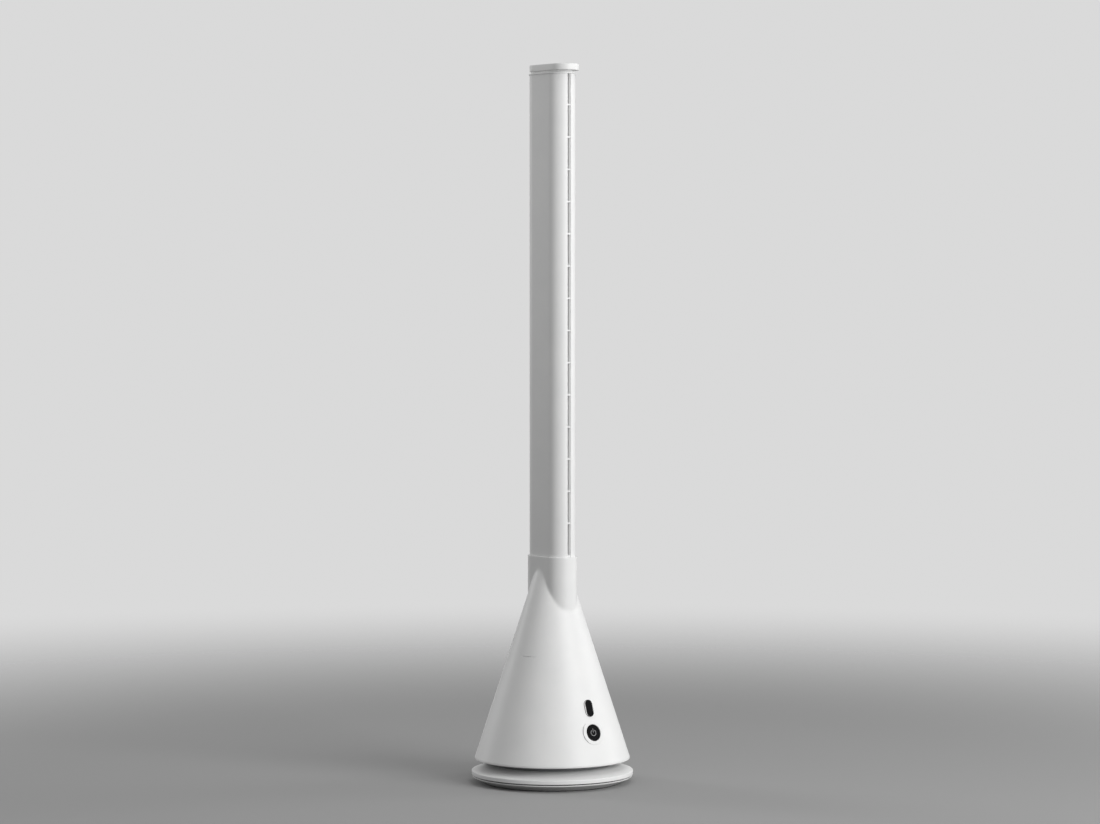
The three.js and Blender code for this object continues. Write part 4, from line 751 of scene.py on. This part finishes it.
def make_grille():
    """The intake's curved panel behind: rows of slots between slats."""
    inside = BODY_WALL + CLEARANCE + GRILLE_DEPTH
    seam = CLEARANCE / cone_radius(GRILLE_TOP)
    span = 2 * (GRILLE_HALF_ANGLE - GRILLE_RIB)
    window_angle = (span + GRILLE_RIB) / GRILLE_WINDOWS
    thetas = [math.pi - GRILLE_HALF_ANGLE + seam]
    open_columns = set()
    for k in range(GRILLE_WINDOWS):
        left = math.pi - span / 2 + k * window_angle
        for theta in steps_between(left, left + window_angle - GRILLE_RIB, 14):
            if theta != left:
                open_columns.add(len(thetas) - 1)
            thetas.append(theta)
    thetas.append(math.pi + GRILLE_HALF_ANGLE - seam)
    bottom = GRILLE_BOTTOM + CLEARANCE
    top = GRILLE_TOP - CLEARANCE
    levels = [bottom]
    open_rows = set()
    row_pitch = (top - bottom - 2 * GRILLE_FRAME + GRILLE_SLAT) / GRILLE_ROWS
    for k in range(GRILLE_ROWS):
        low = bottom + GRILLE_FRAME + k * row_pitch
        levels.append(low)
        open_rows.add(len(levels) - 1)
        levels.append(low + row_pitch - GRILLE_SLAT)
    levels.append(top)

    def solid(i, j):
        return not (i in open_columns and j in open_rows)

    panel = grid_shell(
        "intake_grille", thetas, levels, cone_layer(0), cone_layer(inside), solid,
        MATERIALS["white_shell"])
    soften_edges(panel, GRILLE_SOFTNESS)
    finish_piece(panel, "tower", "white_shell", "rear_grille")


def make_filter():
    """The foam behind the grille."""
    front = BODY_WALL + 2 * CLEARANCE + GRILLE_DEPTH
    thetas = steps_between(math.pi - GRILLE_HALF_ANGLE, math.pi + GRILLE_HALF_ANGLE, 48)
    levels = steps_between(GRILLE_BOTTOM, GRILLE_TOP, 12)
    foam = grid_shell(
        "filter_sheet", thetas, levels, cone_layer(front), cone_layer(front + FILTER_THICKNESS),
        lambda i, j: True, MATERIALS["filter_foam"])
    finish_piece(foam, "tower", "filter_foam", "dust_filter")


# ---------------------------------------------------------------------------------------------
# The column and its lid


def make_column():
    """The hollow column: a racetrack tube whose front edges fold in to the slot."""
    inner = END_RADIUS - COLUMN_WALL
    mouth_y = -HALF_FLAT - math.sqrt(END_RADIUS ** 2 - SLOT_MOUTH ** 2)
    throat_y = SLOT_DEPTH - HALF_FLAT - END_RADIUS
    slope_y = throat_y - SLOT_STRAIGHT
    slope_end_x = SLOT_THROAT + SLOT_TAPER * (SLOT_MOUTH - SLOT_THROAT)
    slope_end_y = slope_y + SLOT_TAPER * (mouth_y - slope_y)
    funnel = [(SLOT_THROAT, throat_y), (SLOT_THROAT, slope_y)]
    bend = (SLOT_MOUTH - 0.2, mouth_y + 0.05)
    funnel += curve((slope_end_x, slope_end_y), bend, (SLOT_MOUTH, mouth_y), 12)[:-1]
    mouth_angle = math.degrees(math.asin(SLOT_MOUTH / END_RADIUS))
    lip = SLOT_THROAT + SLOT_LIP
    lip_angle = math.degrees(math.asin(lip / inner))
    outline = list(funnel)
    outline += arc((0, -HALF_FLAT), END_RADIUS, -90 + mouth_angle, 0, 32)
    outline += arc((0, HALF_FLAT), END_RADIUS, 0, 180, 64)
    outline += arc((0, -HALF_FLAT), END_RADIUS, 180, 270 - mouth_angle, 32)
    outline += [(-x, y) for x, y in reversed(funnel)]
    outline += [(-lip, throat_y)]
    outline += arc((0, -HALF_FLAT), inner, 270 - lip_angle, 180, 24)
    outline += arc((0, HALF_FLAT), inner, 180, 0, 48)
    outline += arc((0, -HALF_FLAT), inner, 0, -90 + lip_angle, 24)
    outline += [(lip, throat_y)]
    levels = steps_between(COLUMN_LOW.z, RING_BOTTOM, 24)
    loops = [[(x, y, level) for x, y in outline] for level in levels]
    column = loft("column_skin", loops, MATERIALS["white_shell"])
    finish_piece(column, "tower", "white_shell", "column_shell")


def make_lid():
    """The thin ring on the column, the inset band and the lid that reaches over the slot."""
    white = MATERIALS["white_shell"]
    ring = rounded_slab(
        "column_ring", RING_HIGH.x, HALF_FLAT, RING_BOTTOM + HAIR, RING_TOP, (0.25, 0.4), white)
    finish_piece(ring, "tower", "white_shell", "top_ring")
    band = rounded_slab(
        "lid_band", BAND_HIGH.x, HALF_FLAT, RING_TOP + HAIR, LID_LOW.z - HAIR, (0.05, 0.05), white)
    finish_piece(band, "tower", "white_shell", "cap_neck")
    overhang = -LID_LOW.y - HALF_FLAT - LID_HIGH.x
    lid = rounded_slab(
        "lid", LID_HIGH.x, HALF_FLAT, LID_LOW.z, LID_HIGH.z, (0.7, 1.1), white, overhang)
    finish_piece(lid, "tower", "white_shell", "top_cap")


# ---------------------------------------------------------------------------------------------
# The foot


def inlet_hole(name):
    """The room that the power inlet takes in the foot's rim, as a cutter."""
    low, high = node_box("power_inlet")
    cube = bpy.data.meshes.new(name)
    x = high.x + CLEARANCE
    corners = [
        (sx * x, y, z)
        for z in (low.z - CLEARANCE, high.z + CLEARANCE)
        for y in (low.y - CLEARANCE, COVER_HIGH.y + CUT_PAST)
        for sx in (-1, 1)
    ]
    faces = [(0, 2, 3, 1), (4, 5, 7, 6), (0, 1, 5, 4), (2, 6, 7, 3), (0, 4, 6, 2), (1, 3, 7, 5)]
    cube.from_pydata([tuple(c * MM for c in p) for p in corners], [], faces)
    cutter = bpy.data.objects.new(name, cube)
    bpy.context.scene.collection.objects.link(cutter)
    return cutter


def make_cover():
    """The disc: a flat table round the hub, a sloped top and a rim over the shadow gap."""
    white = MATERIALS["white_shell"]
    radius = COVER_HIGH.x
    table = COVER_HIGH.z
    under = table - COVER_WALL
    inside = radius - COVER_WALL
    slope = (table - RIM_TOP) / (radius - TABLE_RADIUS)
    incline = math.degrees(math.atan(slope))
    crest = 1.2  # a short first step of the slope, so that the edge shades crisply
    chamfer = 0.3
    profile = [(COVER_BORE, under), (TABLE_RADIUS, under)]
    profile += [(inside, under - slope * (inside - TABLE_RADIUS))]
    profile += [(inside, RIM_BOTTOM), (radius - chamfer, RIM_BOTTOM)]
    profile += [(radius, RIM_BOTTOM + chamfer)]
    profile += arc((radius - RIM_ROUND, RIM_TOP - RIM_ROUND), RIM_ROUND, 0, 90 - incline, 6)
    profile += [(TABLE_RADIUS + crest, table - crest * slope), (TABLE_RADIUS, table)]
    profile += [(COVER_BORE, table)]
    cover = turned("foot_disc", profile, white)
    combine(cover, inlet_hole("cover_cut"), "DIFFERENCE")
    smooth(cover, 20)
    finish_piece(cover, "foot", "white_shell", "foot_cover")


def make_tray():
    """The tray under the disc: thin lip, tapered wall, groove for the rubber ring, screw holes."""
    white = MATERIALS["white_shell"]
    radius = PAN_HIGH.x
    floor = PAN_LOW.z
    middle = floor + 0.3
    lip_top = PAN_HIGH.z - LIP_GAP
    lip_bottom = PAN_HIGH.z - LIP_HEIGHT
    base = radius - TRAY_BASE
    groove_inside = PAD_HIGH.x - PAD_WIDTH - CLEARANCE
    groove_outside = PAD_HIGH.x + CLEARANCE
    seat = PAD_HIGH.z + CLEARANCE
    profile = [(TRAY_BORE, middle), (groove_inside, middle), (groove_inside, seat)]
    profile += [(groove_outside, seat), (groove_outside, floor), (base, floor)]
    profile += [(radius - 0.5, lip_bottom - 0.15), (radius, lip_bottom + 0.4)]
    profile += [(radius, lip_top - 0.15), (radius - 0.2, lip_top)]
    wall_inside = COVER_HIGH.x - 3.7
    profile += [(wall_inside, lip_top), (wall_inside, TRAY_WALL_FOOT)]
    profile += [(TRAY_CORNER_RADIUS, TRAY_STEP), (TRAY_STEP_RADIUS, TRAY_STEP)]
    profile += [(TRAY_STEP_RADIUS, TRAY_FLOOR), (TRAY_BORE, TRAY_FLOOR)]
    tray = disc("foot_tray", profile, white, FINE)
    below = -1
    places = (
        (SCREW_BOSS, middle, "UNION"),
        (SCREW_HEAD, below, "DIFFERENCE"),
        (SCREW_SHANK, below, "DIFFERENCE"),
    )
    for (place_radius, place_top), bottom, operation in places:
        shape = [(place_radius, bottom), (place_radius, place_top)]
        for k in range(SCREWS):
            angle = TURN * (k + 0.5) / SCREWS
            x = SCREW_CIRCLE * math.cos(angle)
            y = SCREW_CIRCLE * math.sin(angle)
            combine(tray, disc("screw_place", shape, white, 32, x, y), operation)
    combine(tray, inlet_hole("tray_cut"), "DIFFERENCE")
    smooth(tray, 20)
    finish_piece(tray, "foot", "white_shell", "foot_pan")


def make_pad():
    """The rubber ring under the foot, with fine grooves between its treads."""
    outer = PAD_HIGH.x
    inner = outer - PAD_WIDTH
    height = PAD_HIGH.z
    edge = PAD_EDGE
    ring = [(inner + edge, 0)]
    for k in range(1, PAD_TREADS):
        end = inner + edge + (PAD_WIDTH - 2 * edge) * k / PAD_TREADS
        ring += [(end + x, z) for x, z in PAD_GROOVE]
    ring += [(outer - edge, 0), (outer, edge), (outer, height), (inner, height), (inner, edge)]
    pad = turned("foot_pad", ring, MATERIALS["rubber"], 144)
    finish_piece(pad, "foot", "rubber", "foot_ring")


def make_neck():
    """The grey floor of the cone with the neck that stands in the gap over the foot."""
    skirt = DECK_LOW.z
    top = DECK_HIGH.z
    inside = SKIRT_RADIUS - SKIRT_WALL
    chamfer = 0.3
    profile = [(NECK_BORE, NECK_UNDER), (inside, NECK_UNDER), (inside, skirt)]
    profile += [(SKIRT_RADIUS - chamfer, skirt), (SKIRT_RADIUS, skirt + chamfer)]
    profile += [(SKIRT_RADIUS, NECK_UNDER), (DECK_HIGH.x, NECK_UNDER)]
    profile += [(DECK_HIGH.x, top), (NECK_BORE, top)]
    deck = turned("deck_and_neck", profile, MATERIALS["grey_plastic"], 192)
    finish_piece(deck, "tower", "grey_plastic", "base_deck")


# ---------------------------------------------------------------------------------------------
# CAD pieces that show as they are


def dress_cad_nodes():
    """Gives each CAD node its slot's material, and two that show their edges a soft edge."""
    slots = {row["node"]: row["material_slot"] for row in frame["record"]["subparts"]}
    for name, node in frame["nodes"].items():
        node.data.materials.clear()
        node.data.materials.append(MATERIALS[slots[name]])
    for name in ("nozzle_strip", "power_inlet"):
        soften_edges(frame["nodes"][name], 0.25)


# ---------------------------------------------------------------------------------------------
# Stage, light and camera, in metres

CAMERA_AZIMUTH = -37.0
CAMERA_DISTANCE = 4.5
CAMERA_HEIGHT = 0.663
CAMERA_AIM = 0.4969
CAMERA_ASIDE = -0.0031  # the axis stands a little right of the picture's middle
CAMERA_LENS = 110.1

# Name, azimuth, distance, height, level aimed at, size and power of each soft box
LAMPS = (
    ("key", 10, 3.2, 1.15, 0.45, (2.0, 2.0), 77),
    ("side", 68, 3.2, 1.0, 0.45, (1.0, 2.0), 18),
    ("top", 0, 1.6, 3.6, 0.05, (1.6, 1.6), 22),
    ("rim", -160, 3.0, 1.3, 0.45, (0.8, 1.8), 19),
)


def seen_directly(tree):
    """1 for what the camera, a clear reflection or a view through glass sees, otherwise 0."""
    path = tree.nodes.new("ShaderNodeLightPath")
    seen = path.outputs["Is Camera Ray"]
    for ray in ("Is Glossy Ray", "Is Transmission Ray"):
        either = tree.nodes.new("ShaderNodeMath")
        either.operation = "MAXIMUM"
        tree.links.new(seen, either.inputs[0])
        tree.links.new(path.outputs[ray], either.inputs[1])
        seen = either.outputs["Value"]
    return seen


def make_floor(shown, bounced):
    """A pale floor that fades out into the background and throws little light back up.

    shown is its colour as it is seen, and bounced the one that light bounces off.
    """
    size = 4.0
    fade_start = 0.7
    fade_end = 2.6
    mesh = bpy.data.meshes.new("floor")
    corners = [(-size, -size, 0), (size, -size, 0), (size, size, 0), (-size, size, 0)]
    mesh.from_pydata(corners, [], [(0, 1, 2, 3)])
    floor = bpy.data.objects.new("floor", mesh)
    bpy.context.scene.collection.objects.link(floor)
    n = Nodes("floor")
    place = n.add("ShaderNodeTexCoord")
    far = n.add("ShaderNodeVectorMath", operation="LENGTH")
    n.link(place.outputs["Object"], far.inputs[0])
    fade = n.add("ShaderNodeMapRange", interpolation_type="SMOOTHSTEP")
    fade.inputs["From Min"].default_value = fade_start
    fade.inputs["From Max"].default_value = fade_end
    n.link(far.outputs["Value"], fade.inputs["Value"])
    colour = n.spread(seen_directly(n.tree), bounced, shown)
    n.set(Base_Color=colour, Roughness=0.85, Specular_IOR_Level=0.1)
    clear = n.add("ShaderNodeBsdfTransparent")
    mix = n.add("ShaderNodeMixShader")
    n.link(fade.outputs["Result"], mix.inputs["Fac"])
    n.link(n.shader.outputs["BSDF"], mix.inputs[1])
    n.link(clear.outputs["BSDF"], mix.inputs[2])
    n.link(mix.outputs["Shader"], n.tree.nodes["Material Output"].inputs["Surface"])
    mesh.materials.append(n.material)


def make_world(ambient, backdrop):
    """Soft light from all round; the camera and clear reflections see a pale backdrop."""
    world = bpy.data.worlds.new("studio")
    bpy.context.scene.world = world
    world.use_nodes = True
    tree = world.node_tree
    light = tree.nodes["Background"]
    light.inputs["Color"].default_value = (1, 1, 1, 1)
    light.inputs["Strength"].default_value = ambient
    seen = tree.nodes.new("ShaderNodeBackground")
    seen.inputs["Color"].default_value = (backdrop, backdrop, backdrop, 1)
    mix = tree.nodes.new("ShaderNodeMixShader")
    tree.links.new(seen_directly(tree), mix.inputs["Fac"])
    tree.links.new(light.outputs["Background"], mix.inputs[1])
    tree.links.new(seen.outputs["Background"], mix.inputs[2])
    tree.links.new(mix.outputs["Shader"], tree.nodes["World Output"].inputs["Surface"])


def add_area_light(name, azimuth, distance, height, aim, size, power):
    """A soft box that stands at an azimuth, counted from the front as the camera's is, and shines
    on the axis.
    """
    data = bpy.data.lights.new(name, "AREA")
    data.shape = "RECTANGLE"
    data.size, data.size_y = size
    data.energy = power
    lamp = bpy.data.objects.new(name, data)
    a = math.radians(azimuth)
    lamp.location = (distance * math.sin(a), -distance * math.cos(a), height)
    lamp.rotation_euler = (Vector((0, 0, aim)) - lamp.location).to_track_quat("-Z", "Y").to_euler()
    bpy.context.scene.collection.objects.link(lamp)


def make_camera():
    data = bpy.data.cameras.new("camera")
    data.sensor_fit = "HORIZONTAL"
    data.sensor_width = 36
    data.lens = CAMERA_LENS
    camera = bpy.data.objects.new("camera", data)
    a = math.radians(CAMERA_AZIMUTH)
    right = Vector((math.cos(a), math.sin(a), 0))
    aside = right * CAMERA_ASIDE
    camera.location = Vector((math.sin(a), -math.cos(a), 0)) * CAMERA_DISTANCE + aside
    camera.location.z = CAMERA_HEIGHT
    aim = aside + Vector((0, 0, CAMERA_AIM))
    camera.rotation_euler = (aim - camera.location).to_track_quat("-Z", "Y").to_euler()
    bpy.context.scene.collection.objects.link(camera)
    bpy.context.scene.camera = camera


def make_stage():
    make_camera()
    make_floor(shown=0.37, bounced=0.12)
    make_world(ambient=0.33, backdrop=0.70)
    for lamp in LAMPS:
        add_area_light(*lamp)
    bpy.context.scene.view_settings.view_transform = "Standard"


make_stage()
dress_cad_nodes()
make_cone_body()
make_button()
make_power_symbol()
make_display()
make_grille()
make_filter()
make_column()
make_lid()
make_cover()
make_tray()
make_pad()
make_neck()
